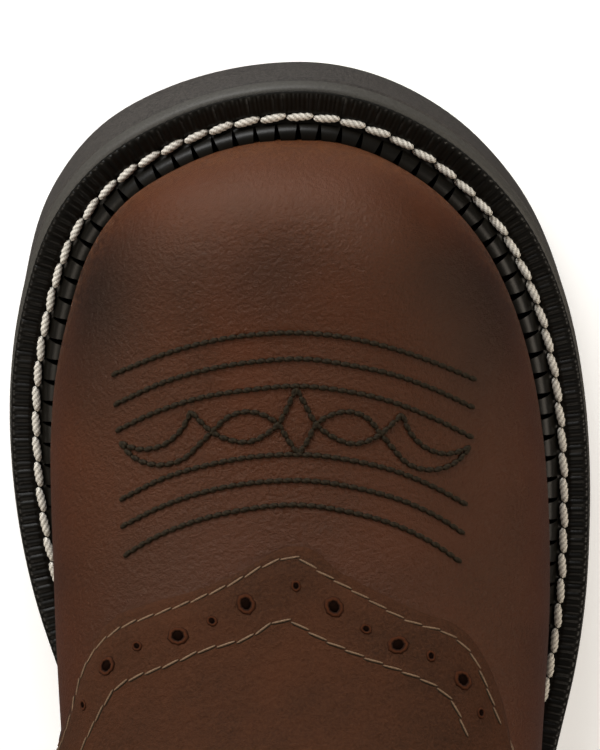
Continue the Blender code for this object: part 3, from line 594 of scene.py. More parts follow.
def cut_mesh(work, cutter, operation, thickness=0.0, offset=1.0):
    """The work, given a wall if it is a sheet, after the cut. Both helpers are removed."""
    piece, tool = plain_object(work, "work"), plain_object(cutter, "tool")
    if thickness:
        wall = piece.modifiers.new("Wall", "SOLIDIFY")
        wall.thickness, wall.offset = thickness, offset
    cut = piece.modifiers.new("Cut", "BOOLEAN")
    cut.operation, cut.solver, cut.object = operation, "EXACT", tool
    bpy.context.view_layer.update()
    done = bpy.data.meshes.new_from_object(piece.evaluated_get(bpy.context.evaluated_depsgraph_get()))
    for helper in (piece, tool):
        bpy.data.objects.remove(helper)
    bm = bmesh.new()
    bm.from_mesh(done)
    bmesh.ops.dissolve_degenerate(bm, dist=SPECK, edges=bm.edges)
    bmesh.ops.dissolve_verts(bm, verts=[vert for vert in bm.verts if len(vert.link_edges) == 2])
    return bm


# %% [markdown]
# Oiled full-grain leather: a pull-up hide, tanned brown and hot-stuffed with oil. The grain shows as fine
# cells under a satin film. Where the hide is stretched over the toe it goes lighter and redder. Painted
# shade, partly the hide's dark burnish, makes it nearly black-brown in hollows and at the sides, and painted
# highlight lightens the top of the toe. Cells are about 1 mm and clouds 26 mm.
# The attribute "tan" marks the rim that was rubbed light, and a second attribute holds the fields of painted
# highlight and painted shade.

# %% Oiled leather
leather, shader = new_look("Oiled full-grain leather", Roughness=0.5, IOR=1.47)
shader.inputs["Specular IOR Level"].default_value = 0.27
shader.inputs["Specular Tint"].default_value = (1.0, 0.84, 0.70, 1.0)
where = add_node(leather, "ShaderNodeTexCoord").outputs["Object"]
clouds = add_node(
    leather, "ShaderNodeTexNoise",
    {"Vector": where, "Scale": 1 / (26 * MILLIMETRE), "Detail": 3.0, "Roughness": 0.55, "Distortion": 0.6}
).outputs["Fac"]
cloud_part = add_node(
    leather, "ShaderNodeMapRange", {"Value": clouds, "From Min": 0.34, "From Max": 0.68}
).outputs["Result"]
body = add_node(
    leather, "ShaderNodeMix",
    {MIX_PART: cloud_part, MIX_FROM: linear("#331809"), MIX_TO: linear("#43200e")}, data_type="RGBA"
).outputs[MIX_RESULT]
specks = add_node(
    leather, "ShaderNodeTexNoise",
    {"Vector": where, "Scale": 1 / (0.45 * MILLIMETRE), "Detail": 3.0, "Roughness": 0.8}
).outputs["Fac"]
speck_part = add_node(
    leather, "ShaderNodeMapRange",
    {"Value": specks, "From Min": 0.38, "From Max": 0.66, "To Min": 0.0, "To Max": 0.65}
).outputs["Result"]
mottled = add_node(
    leather, "ShaderNodeMix", {MIX_PART: speck_part, MIX_FROM: body, MIX_TO: linear("#472411")},
    data_type="RGBA"
).outputs[MIX_RESULT]
# Fields of painted highlight above 0.5 and painted shade below it, the shade partly the hide's dark burnish.
painted_light_and_shade = add_node(leather, "ShaderNodeAttribute", attribute_name="painted_light_and_shade").outputs["Fac"]
painted_shade_part = add_node(
    leather, "ShaderNodeMapRange",
    {"Value": painted_light_and_shade, "From Min": 0.5, "From Max": 0.0, "To Min": 0.0, "To Max": 1.0}
).outputs["Result"]
painted_highlight_part = add_node(
    leather, "ShaderNodeMapRange",
    {"Value": painted_light_and_shade, "From Min": 0.5, "From Max": 1.0, "To Min": 0.0, "To Max": 1.0}
).outputs["Result"]
with_painted_shade = add_node(
    leather, "ShaderNodeMix", {MIX_PART: painted_shade_part, MIX_FROM: mottled, MIX_TO: linear("#180b06")},
    data_type="RGBA"
).outputs[MIX_RESULT]
with_painted_highlight = add_node(
    leather, "ShaderNodeMix", {MIX_PART: painted_highlight_part, MIX_FROM: with_painted_shade, MIX_TO: linear("#4f3022")},
    data_type="RGBA"
).outputs[MIX_RESULT]
tan = add_node(leather, "ShaderNodeAttribute", attribute_name="tan").outputs["Fac"]
streak_place = add_node(
    leather, "ShaderNodeMapping", {"Vector": where, "Scale": (1.0, 1.0, 0.3)}
).outputs["Vector"]
streaks = add_node(
    leather, "ShaderNodeTexNoise", {"Vector": streak_place, "Scale": 1 / (0.6 * MILLIMETRE), "Detail": 3.0}
).outputs["Fac"]
streak_part = add_node(
    leather, "ShaderNodeMapRange", {"Value": streaks, "From Min": 0.38, "From Max": 0.62}
).outputs["Result"]
rubbed = add_node(
    leather, "ShaderNodeMath", {0: tan, 1: 1.5}, operation="MULTIPLY", use_clamp=True
).outputs[0]
tan_part = add_node(leather, "ShaderNodeMath", {0: rubbed, 1: streak_part}, operation="MULTIPLY").outputs[0]
leather_colour = add_node(
    leather, "ShaderNodeMix", {MIX_PART: tan_part, MIX_FROM: with_painted_highlight, MIX_TO: linear("#5a351d")},
    data_type="RGBA"
).outputs[MIX_RESULT]
leather.node_tree.links.new(leather_colour, shader.inputs["Base Color"])
cells = add_node(
    leather, "ShaderNodeTexVoronoi", {"Vector": where, "Scale": 1 / (0.95 * MILLIMETRE), "Randomness": 1.0},
    feature="SMOOTH_F1"
).outputs["Distance"]
creping = add_node(
    leather, "ShaderNodeTexNoise",
    {"Vector": where, "Scale": 1 / (0.6 * MILLIMETRE), "Detail": 4.0, "Roughness": 0.7}
).outputs["Fac"]
relief = add_node(
    leather, "ShaderNodeMath", {0: cells, 1: 0.4, 2: creping}, operation="MULTIPLY_ADD"
).outputs[0]
grain = add_node(
    leather, "ShaderNodeBump", {"Height": relief, "Distance": 0.30 * MILLIMETRE, "Strength": 1.0}
).outputs["Normal"]
leather.node_tree.links.new(grain, shader.inputs["Normal"])
gloss = add_node(
    leather, "ShaderNodeMapRange",
    {"Value": creping, "From Min": 0.3, "From Max": 0.7, "To Min": 0.33, "To Max": 0.46}
).outputs["Result"]
leather.node_tree.links.new(gloss, shader.inputs["Roughness"])

# %% [markdown]
# Lining: smooth tan pigskin inside the shaft, matte, with its pores in threes left as soft specks.

# %% Lining leather
lining, shader = new_look("Pigskin lining", Roughness=0.78, IOR=1.45)
where = add_node(lining, "ShaderNodeTexCoord").outputs["Object"]
pores = add_node(
    lining, "ShaderNodeTexVoronoi", {"Vector": where, "Scale": 1 / (1.8 * MILLIMETRE)}
).outputs["Distance"]
pore_part = add_node(
    lining, "ShaderNodeMapRange", {"Value": pores, "From Min": 0.05, "From Max": 0.3}
).outputs["Result"]
hide = add_node(
    lining, "ShaderNodeMix", {MIX_PART: pore_part, MIX_FROM: linear("#5f4029"), MIX_TO: linear("#8a6340")},
    data_type="RGBA"
).outputs[MIX_RESULT]
lining.node_tree.links.new(hide, shader.inputs["Base Color"])
pricks = add_node(
    lining, "ShaderNodeBump", {"Height": pores, "Distance": 0.1 * MILLIMETRE, "Strength": 0.5}
).outputs["Normal"]
lining.node_tree.links.new(pricks, shader.inputs["Normal"])

# %% [markdown]
# Black welt: moulded PVC compound. It is nearly black, with a low satin sheen that only shows on ribs and on
# the round of the ridge.

# %% Black welt compound
welt_look, shader, where = two_tone(
    "Moulded black welt", "#080705", "#100e0a", 3 * MILLIMETRE, 4.0, Roughness=0.38, IOR=1.5
)
shader.inputs["Specular IOR Level"].default_value = 0.16
skin = add_node(
    welt_look, "ShaderNodeTexNoise", {"Vector": where, "Scale": 1 / (0.5 * MILLIMETRE), "Detail": 2.0}
).outputs["Fac"]
rough_skin = add_node(
    welt_look, "ShaderNodeBump", {"Height": skin, "Distance": 0.03 * MILLIMETRE, "Strength": 0.6}
).outputs["Normal"]
welt_look.node_tree.links.new(rough_skin, shader.inputs["Normal"])

# %% [markdown]
# Sole rubber: buffed black nitrile. Buffing leaves a speckle of grey dust about 0.4 mm wide on the walls.

# %% Sole and midsole rubber
def speckled_rubber(name, dark, light, roughness):
    look, shader = new_look(name, Roughness=roughness, IOR=1.5)
    shader.inputs["Specular IOR Level"].default_value = 0.35
    where = add_node(look, "ShaderNodeTexCoord").outputs["Object"]
    speck = add_node(
        look, "ShaderNodeTexNoise",
        {"Vector": where, "Scale": 1 / (0.45 * MILLIMETRE), "Detail": 3.0, "Roughness": 0.8}
    ).outputs["Fac"]
    part = add_node(
        look, "ShaderNodeMapRange", {"Value": speck, "From Min": 0.35, "From Max": 0.65}
    ).outputs["Result"]
    tint = add_node(
        look, "ShaderNodeMix", {MIX_PART: part, MIX_FROM: linear(dark), MIX_TO: linear(light)},
        data_type="RGBA"
    ).outputs[MIX_RESULT]
    look.node_tree.links.new(tint, shader.inputs["Base Color"])
    buffing = add_node(
        look, "ShaderNodeBump", {"Height": speck, "Distance": 0.06 * MILLIMETRE, "Strength": 0.8}
    ).outputs["Normal"]
    look.node_tree.links.new(buffing, shader.inputs["Normal"])
    return look


sole_rubber = speckled_rubber("Buffed nitrile rubber", "#23201e", "#3c3834", 0.62)
# The midsole's lighter tones are a painted highlight: the band looks lighter because its edge catches the
# light.
midsole_painted_highlight_rubber = speckled_rubber("Midsole rubber with painted highlight", "#2f2d29", "#3d3b36", 0.58)

# %% [markdown]
# Thread. The welt is sewn with thick white waxed thread of three strands, the decoration with fine dark
# thread. Twisted strands shade themselves, and the colour adds painted shade in the grooves between strands,
# lighter on their crowns, and varies along the thread.

# %% Threads
def thread_look(name, dark, light, roughness, specular):
    look, shader = new_look(name, Roughness=roughness, IOR=1.45)
    where = add_node(look, "ShaderNodeTexCoord").outputs["Object"]
    shader.inputs["Specular IOR Level"].default_value = specular
    fibre = add_node(
        look, "ShaderNodeTexNoise", {"Vector": where, "Scale": 1 / (0.35 * MILLIMETRE), "Detail": 3.0}
    ).outputs["Fac"]
    crown = add_node(look, "ShaderNodeAttribute", attribute_name="crown").outputs["Fac"]
    # Painted shade in the grooves between strands, lighter on their crowns.
    strand_shade_part = add_node(
        look, "ShaderNodeMapRange",
        {"Value": crown, "From Min": 0.15, "From Max": 0.75, "To Min": 0.0, "To Max": 1.0}
    ).outputs["Result"]
    worn = add_node(
        look, "ShaderNodeMapRange", {"Value": fibre, "From Min": 0.3, "From Max": 0.6, "To Min": 0.55}
    ).outputs["Result"]
    part = add_node(look, "ShaderNodeMath", {0: strand_shade_part, 1: worn}, operation="MULTIPLY").outputs[0]
    tint = add_node(
        look, "ShaderNodeMix", {MIX_PART: part, MIX_FROM: linear(dark), MIX_TO: linear(light)},
        data_type="RGBA"
    ).outputs[MIX_RESULT]
    look.node_tree.links.new(tint, shader.inputs["Base Color"])
    fuzz = add_node(
        look, "ShaderNodeBump", {"Height": fibre, "Distance": 0.05 * MILLIMETRE, "Strength": 0.7}
    ).outputs["Normal"]
    look.node_tree.links.new(fuzz, shader.inputs["Normal"])
    return look


white_thread = thread_look("Waxed white thread", "#5d574d", "#dcd8ce", 0.5, 0.4)
dark_thread = thread_look("Dark brown thread", "#060403", "#2a2318", 0.7, 0.10)
tan_thread = thread_look("Tan thread", "#1c1009", "#77604a", 0.6, 0.25)

# %% [markdown]
# The upper: one hide lasted over the toe, with a wall of 2.4 mm. The grid follows the sections of the last.
# Soft fields of painted highlight and painted shade (the shade partly the hide's dark burnish), and low
# troughs and ridges, are placed in the shoe's own millimetres.

# %% The leather upper
FOOT_PART = 0.66
UPPER_COLUMNS, UPPER_ROWS = 160, 216
VAMP_TOP, FOLDS_TOP, VAMP_FROM = 0.09, 0.20, 0.10

# x and y in mm, radius in mm, depth in mm (minus is a trough)
CREASES = (
    (-5.0, 209.0, 9.0, -0.6),
    (16.0, 207.0, 9.0, 0.6),
    (-18.0, 207.0, 9.0, 0.4),
    (26.0, 204.0, 8.0, -0.5),
    (-31.0, 199.0, 9.0, -0.4),
    (2.0, 197.0, 10.0, -0.3),
)
# y, rise and slope of the fold's line, its half width and reach in mm, and its depth in mm
ANKLE_FOLDS = (
    (52.0, 118.0, 0.35, 4.0, 26.0, -0.9),
    (48.0, 128.0, 0.30, 5.0, 26.0, 0.7),
    (44.0, 138.0, 0.20, 4.5, 22.0, -0.6),
    (-20.0, 118.0, -0.25, 5.0, 20.0, -0.6),
    (-18.0, 130.0, -0.20, 6.0, 20.0, 0.5),
    (36.0, 163.0, 0.10, 9.0, 30.0, -0.5),
)
# x and y in mm, radius in mm, and the amount of painted highlight (plus) or painted shade (minus)
PAINTED_LIGHT_FIELDS = (
    (-8.0, 223.0, 9.0, 0.30),
    (8.0, 223.0, 9.0, 0.28),
    (-22.0, 221.0, 8.0, 0.20),
    (26.0, 219.0, 7.0, 0.05),
    (-36.0, 207.0, 9.0, -0.30),
    (-36.0, 198.0, 9.0, -0.28),
    (-36.0, 188.0, 9.0, -0.18),
    (-26.0, 212.0, 8.0, -0.14),
    (-16.0, 208.0, 9.0, -0.10),
    (-4.0, 209.0, 8.0, -0.18),
    (-4.0, 201.0, 8.0, -0.10),
    (24.0, 208.0, 8.0, -0.22),
    (33.0, 204.0, 9.0, -0.26),
    (33.0, 194.0, 9.0, -0.24),
    (34.0, 182.0, 9.0, -0.14),
    (31.0, 165.0, 9.0, -0.12),
    (16.0, 210.0, 8.0, 0.04),
    (-24.0, 190.0, 8.0, 0.05),
    (0.0, 192.0, 14.0, 0.10),
    (-24.0, 156.0, 12.0, -0.14),
    (-32.0, 147.0, 10.0, -0.14),
    (0.0, 158.0, 12.0, -0.12),
    (20.0, 156.0, 10.0, -0.10),
)


def soft_sum(rows, point):
    total = 0.0
    for x, y, radius, amount in rows:
        away = ((point.x * 1000 - x) ** 2 + (point.y * 1000 - y) ** 2) / (radius * radius)
        total += amount * math.exp(-away)
    return total


def ankle_fold(point):
    """Depth of the low folds round the ankle, in mm."""
    x, y, z = (value * 1000 for value in point)
    total = 0.0
    for middle, rise, slope, wide, reach_of, depth in ANKLE_FOLDS:
        off_line = (z - rise - slope * abs(x) * (1 if x > 0 else 0.8)) / wide
        off_end = (y - middle) / reach_of
        total += depth * math.exp(-off_line * off_line - off_end * off_end)
    return total


def station_of(v):
    return v / FOOT_PART if v <= FOOT_PART else 1 + (v - FOOT_PART) / (1 - FOOT_PART)


def upper_place(u, v):
    return upper_point(station_of(v), 2 * u - 1)


bm = carried_grid(UPPER_COLUMNS, UPPER_ROWS, upper_place)
tan_layer = bm.verts.layers.float.new("tan")
light_shade_layer = bm.verts.layers.float.new("painted_light_and_shade")
bmesh.ops.remove_doubles(bm, verts=bm.verts, dist=MERGE)
face_outwards(bm, X_AXIS)
for vert in bm.verts:
    point = vert.co.copy()
    if point.z < VAMP_TOP and point.y > VAMP_FROM:
        vert.co += vert.normal * soft_sum(CREASES, point) * MILLIMETRE * smooth_step(
            (point.z - footbed(point.y) - 0.006) / 0.012
        )
    elif VAMP_TOP <= point.z < FOLDS_TOP:
        vert.co += vert.normal * ankle_fold(point) * MILLIMETRE * smooth_step((point.z - VAMP_TOP) / 0.02)
    rim = point.z - footbed(point.y) - WELT_THICKNESS - RIDGE_HEIGHT
    vert[tan_layer] = (1 - smooth_step(rim / 0.024)) * smooth_step((point.y - 0.12) / 0.09)
    # Painted highlight and painted shade from the fields, on the vamp only.
    vert[light_shade_layer] = 0.5 + (
        soft_sum(PAINTED_LIGHT_FIELDS, point) if point.z < VAMP_TOP and point.y > VAMP_FROM else 0.0
    )
upper_tree = BVHTree.FromBMesh(bm)
upper = finish_piece(bm, "leather_upper", [leather, lining], ("upper",), sharp=0)
wall = upper.modifiers.new("Wall", "SOLIDIFY")
wall.thickness = UPPER_WALL
wall.offset = -1.0
wall.material_offset = 1
wall.material_offset_rim = 0

# %% [markdown]
# Outsole and midsole are rings of their profiles round the sole's edge, closed by strips across.
# The chevron grooves of the tread are cut with prisms, as a mould would press them.

# %% Outsole and midsole
SOLE_COLUMNS = 320
GROOVE_DEPTH, GROOVE_WIDTH, GROOVE_PITCH, GROOVE_POINT = 0.0025, 0.0040, 0.0105, 0.0060
TREAD_RIM, TREAD_FROM, TREAD_TO = 0.0080, 0.080, 0.440


def closed_sole(profile, extra=lambda turn: 0.0):
    """A ring of (inset, height) profile points, with strips across its bottom and its top."""
    rows = len(profile) - 1

    def place(u, v):
        turn = math.tau * u - math.pi
        inset, height = profile[round(v * rows)]
        return on_sole(round(turn, 9), inset + extra(turn), height)

    bm = carried_grid(SOLE_COLUMNS, rows, place, weld=True)
    rims = [edge for edge in bm.edges if edge.is_boundary]
    for level in (0, 1):
        verts = {vert for rim in rims for vert in rim.verts}
        lows = sorted(verts, key=lambda vert: footbed(vert.co.y) - vert.co.z)
        chosen = set(lows[:len(lows) // 2]) if level else set(lows[len(lows) // 2:])
        tip = max(chosen, key=lambda vert: vert.co.y)
        heel = min(chosen, key=lambda vert: vert.co.y)
        halves = []
        for side in SIDE_NAMES:
            halves += [
                rim for rim in rims
                if all(v in chosen and v not in (tip, heel) and v.co.x * side > 0 for v in rim.verts)
            ]
        bmesh.ops.bridge_loops(bm, edges=halves)
        for end in (tip, heel):
            corner = [end] + [
                rim.other_vert(end) for rim in end.link_edges if rim.other_vert(end) in chosen
            ]
            bmesh.ops.contextual_create(bm, geom=corner)
    bmesh.ops.recalc_face_normals(bm, faces=bm.faces)
    return bm


OUTSOLE_PROFILE = (
    (SOLE_UNDERCUT + SOLE_BEVEL, 0.0),
    (SOLE_UNDERCUT + 0.3 * SOLE_BEVEL, 0.25 * SOLE_BEVEL),
    (SOLE_UNDERCUT, SOLE_BEVEL),
    (0.0003, 0.55 * OUTSOLE_THICKNESS),
    (0.0, OUTSOLE_THICKNESS - 0.0003),
    (0.0003, OUTSOLE_THICKNESS),
)
midsole_low = OUTSOLE_THICKNESS + GAP
midsole_high = midsole_low + MIDSOLE_THICKNESS
MIDSOLE_PROFILE = (
    (0.0003, midsole_low),
    (0.0, midsole_low + 0.0003),
    (0.0, midsole_high - 0.0009),
    (0.0003, midsole_high - 0.0003),
    (0.0009, midsole_high),
)


def tread_grooves():
    """Chevron prisms across the forefoot, inside a plain rim."""
    bm = bmesh.new()
    rest = at_share((FLAT_FROM + FLAT_TO) / 2)
    for centre in [rest + (step + 0.5) * GROOVE_PITCH for step in range(-20, 21)]:
        if not TREAD_FROM < from_toe(centre) < TREAD_TO:
            continue
        ends = centre - GROOVE_POINT
        left = -(read(OUTLINE, "medial", turn_of(from_toe(ends)), by_turn=True) * BALL_WIDTH - TREAD_RIM)
        right = read(OUTLINE, "lateral", turn_of(from_toe(ends)), by_turn=True) * BALL_WIDTH - TREAD_RIM
        line = [(left, ends), (0.0, centre), (right, ends)]
        front = [(x, y + GROOVE_WIDTH / 2) for x, y in line]
        rear = [(x, y - GROOVE_WIDTH / 2) for x, y in reversed(line)]
        low = [bm.verts.new((x, y, ground(y) - GROOVE_DEPTH)) for x, y in front + rear]
        made = bmesh.ops.extrude_face_region(bm, geom=[bm.faces.new(low)])["geom"]
        top = [item for item in made if isinstance(item, bmesh.types.BMVert)]
        bmesh.ops.translate(bm, vec=(0.0, 0.0, 2 * GROOVE_DEPTH), verts=top)
    bmesh.ops.recalc_face_normals(bm, faces=bm.faces)
    return bm


treaded = cut_mesh(closed_sole(OUTSOLE_PROFILE), tread_grooves(), "DIFFERENCE")
finish_piece(treaded, "rubber_outsole", [sole_rubber], ("outsole",), sharp=35)
finish_piece(
    closed_sole(MIDSOLE_PROFILE), "rubber_midsole", [midsole_painted_highlight_rubber], ("midsole",)
)

# %% [markdown]
# The storm welt: a moulded strip sewn round the upper, flat outside and turned up against the leather to
# keep water out. Its outer zone is ribbed across every 1.4 mm, and the ridge is nicked every 3.9 mm so that
# it bends round the toe. It is swept along the edge with sixteen rows to a nick, and closed underneath and at
# both ends, so that it is a body and not a sheet.

# %% The storm welt
RIB_PITCH = 0.0014
NOTCH_PITCH = 0.0039
WELT_END = turn_of(HEEL_BREAST)
walk = np.linspace(-WELT_END, WELT_END, 1601)
walk_points = [edge(round(float(turn), 9), 0.005) for turn in walk]
walk_lengths = np.concatenate(
    ([0.0], np.cumsum([(b - a).length for a, b in zip(walk_points, walk_points[1:])]))
)
WELT_LENGTH = float(walk_lengths[-1])
NOTCH_COUNT = int(WELT_LENGTH / NOTCH_PITCH)
ROWS_A_NOTCH = 16
RIB_DEPTH, RIB_EDGE_DEPTH = 0.00036, 0.00008
NICK_FLOOR = 0.0012
NICK_HALF_OUT, NICK_HALF_GROWTH = 0.00012, 0.00054
WELT_ROWS = NOTCH_COUNT * ROWS_A_NOTCH


def turn_at(length):
    return round(float(np.interp(length, walk_lengths, walk)), 9)


# inset and height: up the outer wall, over the ribs, into the stitch groove, up the ridge, back underneath
WELT_PROFILE = (
    (0.0006, 0.0000), (0.0004, 0.0004), (0.0004, 0.0010), (0.0004, 0.0016), (0.0006, 0.0021),
    (0.0011, 0.0024), (0.0018, 0.0024), (0.0026, 0.0024), (0.0034, 0.0024), (0.0040, 0.0023),
    (0.0043, 0.0019), (0.0049, 0.0017), (0.0055, 0.0018), (0.0060, 0.0021), (0.0063, 0.0028),
    (0.0067, 0.0036), (0.0073, 0.0042), (0.0080, 0.0046), (0.0088, 0.0048), (0.0098, 0.0048),
    (0.0098, 0.0001), (0.0006, 0.0000),
)
WELT_INNER = len(WELT_PROFILE) - 3


def notch_row(row, half_notch):
    """Length along the welt of a row of the ridge, gathered at the walls of its nick, and if it is cut."""
    step = (row + ROWS_A_NOTCH // 2) % ROWS_A_NOTCH - ROWS_A_NOTCH // 2
    pitch = WELT_LENGTH / NOTCH_COUNT
    middle = (row - step) / ROWS_A_NOTCH * pitch
    side = 1 if step > 0 else -1
    if abs(step) < 2:
        return middle + step * half_notch * 0.92, True
    part = (abs(step) - 2) / (ROWS_A_NOTCH / 2 - 2)
    return middle + side * between(half_notch, pitch / 2, part), False


def welt_place(u, v):
    row = round(u * WELT_ROWS)
    length = u * WELT_LENGTH
    index = round(v * (len(WELT_PROFILE) - 1))
    inset, height = WELT_PROFILE[index]
    rib = abs(math.cos(math.pi * length / RIB_PITCH))
    if 1 <= index <= 3:
        inset += RIB_EDGE_DEPTH * (1 - rib)
    elif 4 <= index <= 9:
        height -= (RIB_DEPTH / 2 if index == 4 else RIB_DEPTH) * (1 - rib)
    if 12 <= index <= WELT_INNER + 1 and 8 < row < WELT_ROWS - 8:
        inner = min(max((inset - 0.0060) / 0.0030, 0.0), 1.0)
        length, cut = notch_row(row, NICK_HALF_OUT + NICK_HALF_GROWTH * inner ** 0.7)
        if cut and 14 <= index <= WELT_INNER:
            height = NICK_FLOOR
    turn = turn_at(length)
    if index in (WELT_INNER, WELT_INNER + 1):
        inset = max(inset, reach(turn) + 0.0012)
    return on_sole(turn, inset, BED_HEIGHT + height)


bm = carried_grid(WELT_ROWS, len(WELT_PROFILE) - 1, welt_place, weld=True)
caps = bmesh.ops.holes_fill(bm, edges=[rim for rim in bm.edges if rim.is_boundary], sides=0)["faces"]
bmesh.ops.triangulate(bm, faces=caps)
bmesh.ops.recalc_face_normals(bm, faces=bm.faces)
finish_piece(bm, "storm_welt", [welt_look], ("welt",), sharp=50)
print("welt", round(WELT_LENGTH * 1000), "mm long")

# %% [markdown]
# A stitch is a short length of twisted thread that dives into the work at both ends. One is turned from a
# sphere: drawn out, pinched at its ends, and fluted by its three strands. Rows are joined copies of it.

# %% One stitch and rows of it
def stitch_form(length, radius, turns, strands=3, around=12, rings=11, squash=0.8):
    """A twisted stitch along X, with Z away from the work."""
    bm = bmesh.new()
    bmesh.ops.create_uvsphere(bm, u_segments=around, v_segments=rings, radius=1.0)
    crown_layer = bm.verts.layers.float.new("crown")
    for vert in bm.verts:
        along = 1 - 2 * math.acos(min(max(vert.co.z, -1.0), 1.0)) / math.pi
        angle = math.atan2(vert.co.y, vert.co.x)
        swell = (1 - abs(along) ** 3.2) ** 0.5 if abs(along) < 1 else 0.0
        crown = abs(math.cos(strands * (angle - math.tau * turns * along / 2) / 2))
        vert[crown_layer] = crown
        size = radius * swell * (0.72 + 0.36 * crown)
        vert.co = Vector((along * length / 2, size * math.cos(angle), size * math.sin(angle) * squash))
    bmesh.ops.recalc_face_normals(bm, faces=bm.faces)
    return bm


def joined(name, form, places, look):
    """One mesh of a copy of the form under each matrix."""
    points = np.array([vert.co for vert in form.verts])
    faces = np.array(
        [[vert.index for vert in face.verts] + [-1] * (4 - len(face.verts)) for face in form.faces]
    )
    crown_layer = form.verts.layers.float.get("crown")
    crowns = [vert[crown_layer] for vert in form.verts] if crown_layer else []
    form.free()
    all_points, all_faces = [], []
    for count, place in enumerate(places):
        all_points.append(points @ np.array(place.to_3x3()).T + np.array(place.translation))
        all_faces += [
            [int(corner) + count * len(points) for corner in face if corner >= 0] for face in faces
        ]
    mesh = bpy.data.meshes.new(name)
    mesh.from_pydata(np.concatenate(all_points).tolist(), [], all_faces)
    if crowns:
        mesh.attributes.new("crown", "FLOAT", "POINT").data.foreach_set("value", crowns * len(places))
    item = bpy.data.objects.new(name, mesh)
    bpy.context.scene.collection.objects.link(item)
    mesh.materials.append(look)
    mesh.shade_smooth()
    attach(item, "root")
    print(name, len(places), "copies,", len(mesh.polygons), "faces")
    return item


def frame_of(place, along, out, slant=0.0):
    """Matrix at a place, with X along the row and Z away from the work."""
    out = out.normalized()
    x = (along - out * along.dot(out)).normalized()
    x = (Matrix.Rotation(slant, 3, out) @ x).normalized()
    y = out.cross(x)
    matrix = Matrix((x, y, out)).transposed().to_4x4()
    matrix.translation = place
    return matrix


def evenly(points, outs, pitch):
    """Places, directions and outward normals at an even pitch along a line of points."""
    lengths = np.concatenate(([0.0], np.cumsum([(b - a).length for a, b in zip(points, points[1:])])))
    count = max(int(round(lengths[-1] / pitch)), 1)
    made = []
    for step in range(count):
        at = [lengths[-1] * (step + part) / count for part in (0.0, 0.5, 1.0)]
        ends = [
            Vector([float(np.interp(spot, lengths, [p[axis] for p in points])) for axis in range(3)])
            for spot in at
        ]
        out = Vector([float(np.interp(at[1], lengths, [n[axis] for n in outs])) for axis in range(3)])
        middle = ends[1].lerp((ends[0] + ends[2]) / 2, 0.5)
        made.append((middle, ends[2] - ends[0], out, lengths[-1] / count))
    return made


# %% [markdown]
# The welt stitch: three-strand white thread, one stitch each 4.6 mm, in a shallow groove of the welt.

# %% Welt stitches
WELT_STITCH, WELT_THREAD_RADIUS = 0.0046, 0.00071
STITCH_INSET = 0.0049
stitch_count = int(WELT_LENGTH / WELT_STITCH)
places = []
for step in range(stitch_count):
    ends = [
        on_sole(turn_at((step + part) * WELT_LENGTH / stitch_count), STITCH_INSET, BED_HEIGHT + 0.0022)
        for part in (0.0, 0.5, 1.0)
    ]
    places.append(
        frame_of(
            ends[1], ends[2] - ends[0], Vector((0.0, 0.0, 1.0)), slant=math.radians(7 if step % 2 else 5)
        )
    )
joined(
    "welt_stitches", stitch_form(WELT_STITCH * 1.02, WELT_THREAD_RADIUS, 1.5, rings=19), places,
    white_thread
)

# %% [markdown]
# Decorative rows cross the vamp where the photograph shows them. Each is noted as points of the image and
# cast from the camera onto the leather, so the thread lies on the form from every side.

# %% Casting lines of the image onto the leather
def through(points, pitch):
    """A smooth line through image points, at an even pitch in pixels."""
    spots = np.array(points, dtype=float)
    lengths = np.concatenate(([0.0], np.cumsum(np.hypot(*np.diff(spots, axis=0).T))))
    slopes = np.gradient(spots, lengths, axis=0)
    made = []
    for at in np.linspace(0.0, lengths[-1], max(int(lengths[-1] / pitch), 2)):
        row = min(int(np.searchsorted(lengths, at, side="right")) - 1, len(lengths) - 2)
        span = lengths[row + 1] - lengths[row]
        part = (at - lengths[row]) / span
        ease = part * part * (3 - 2 * part)
        bend = part * (1 - part) * span * ((1 - part) * slopes[row] - part * slopes[row + 1])
        made.append(spots[row] + (spots[row + 1] - spots[row]) * ease + bend)
    return made


def cast_line(points, tree, lift):
    """Points and outward normals on a form, seen through image points."""
    spots, outs = [], []
    for column_px, row_px in through(points, 3.0):
        place, out, _, _ = tree.ray_cast(CAMERA_PLACE, ray_through(column_px, row_px))
        if place is None:
            continue
        out = out if out.z > 0 else -out
        spots.append(place + out * lift)
        outs.append(out)
    return spots, outs


def row_places(spots, outs, pitch, slant):
    return [frame_of(middle, along, out, slant) for middle, along, out, _ in evenly(spots, outs, pitch)]


# %% [markdown]
# Six rows cross the vamp, and a figure of loops round a lozenge lies between the third and the fourth.

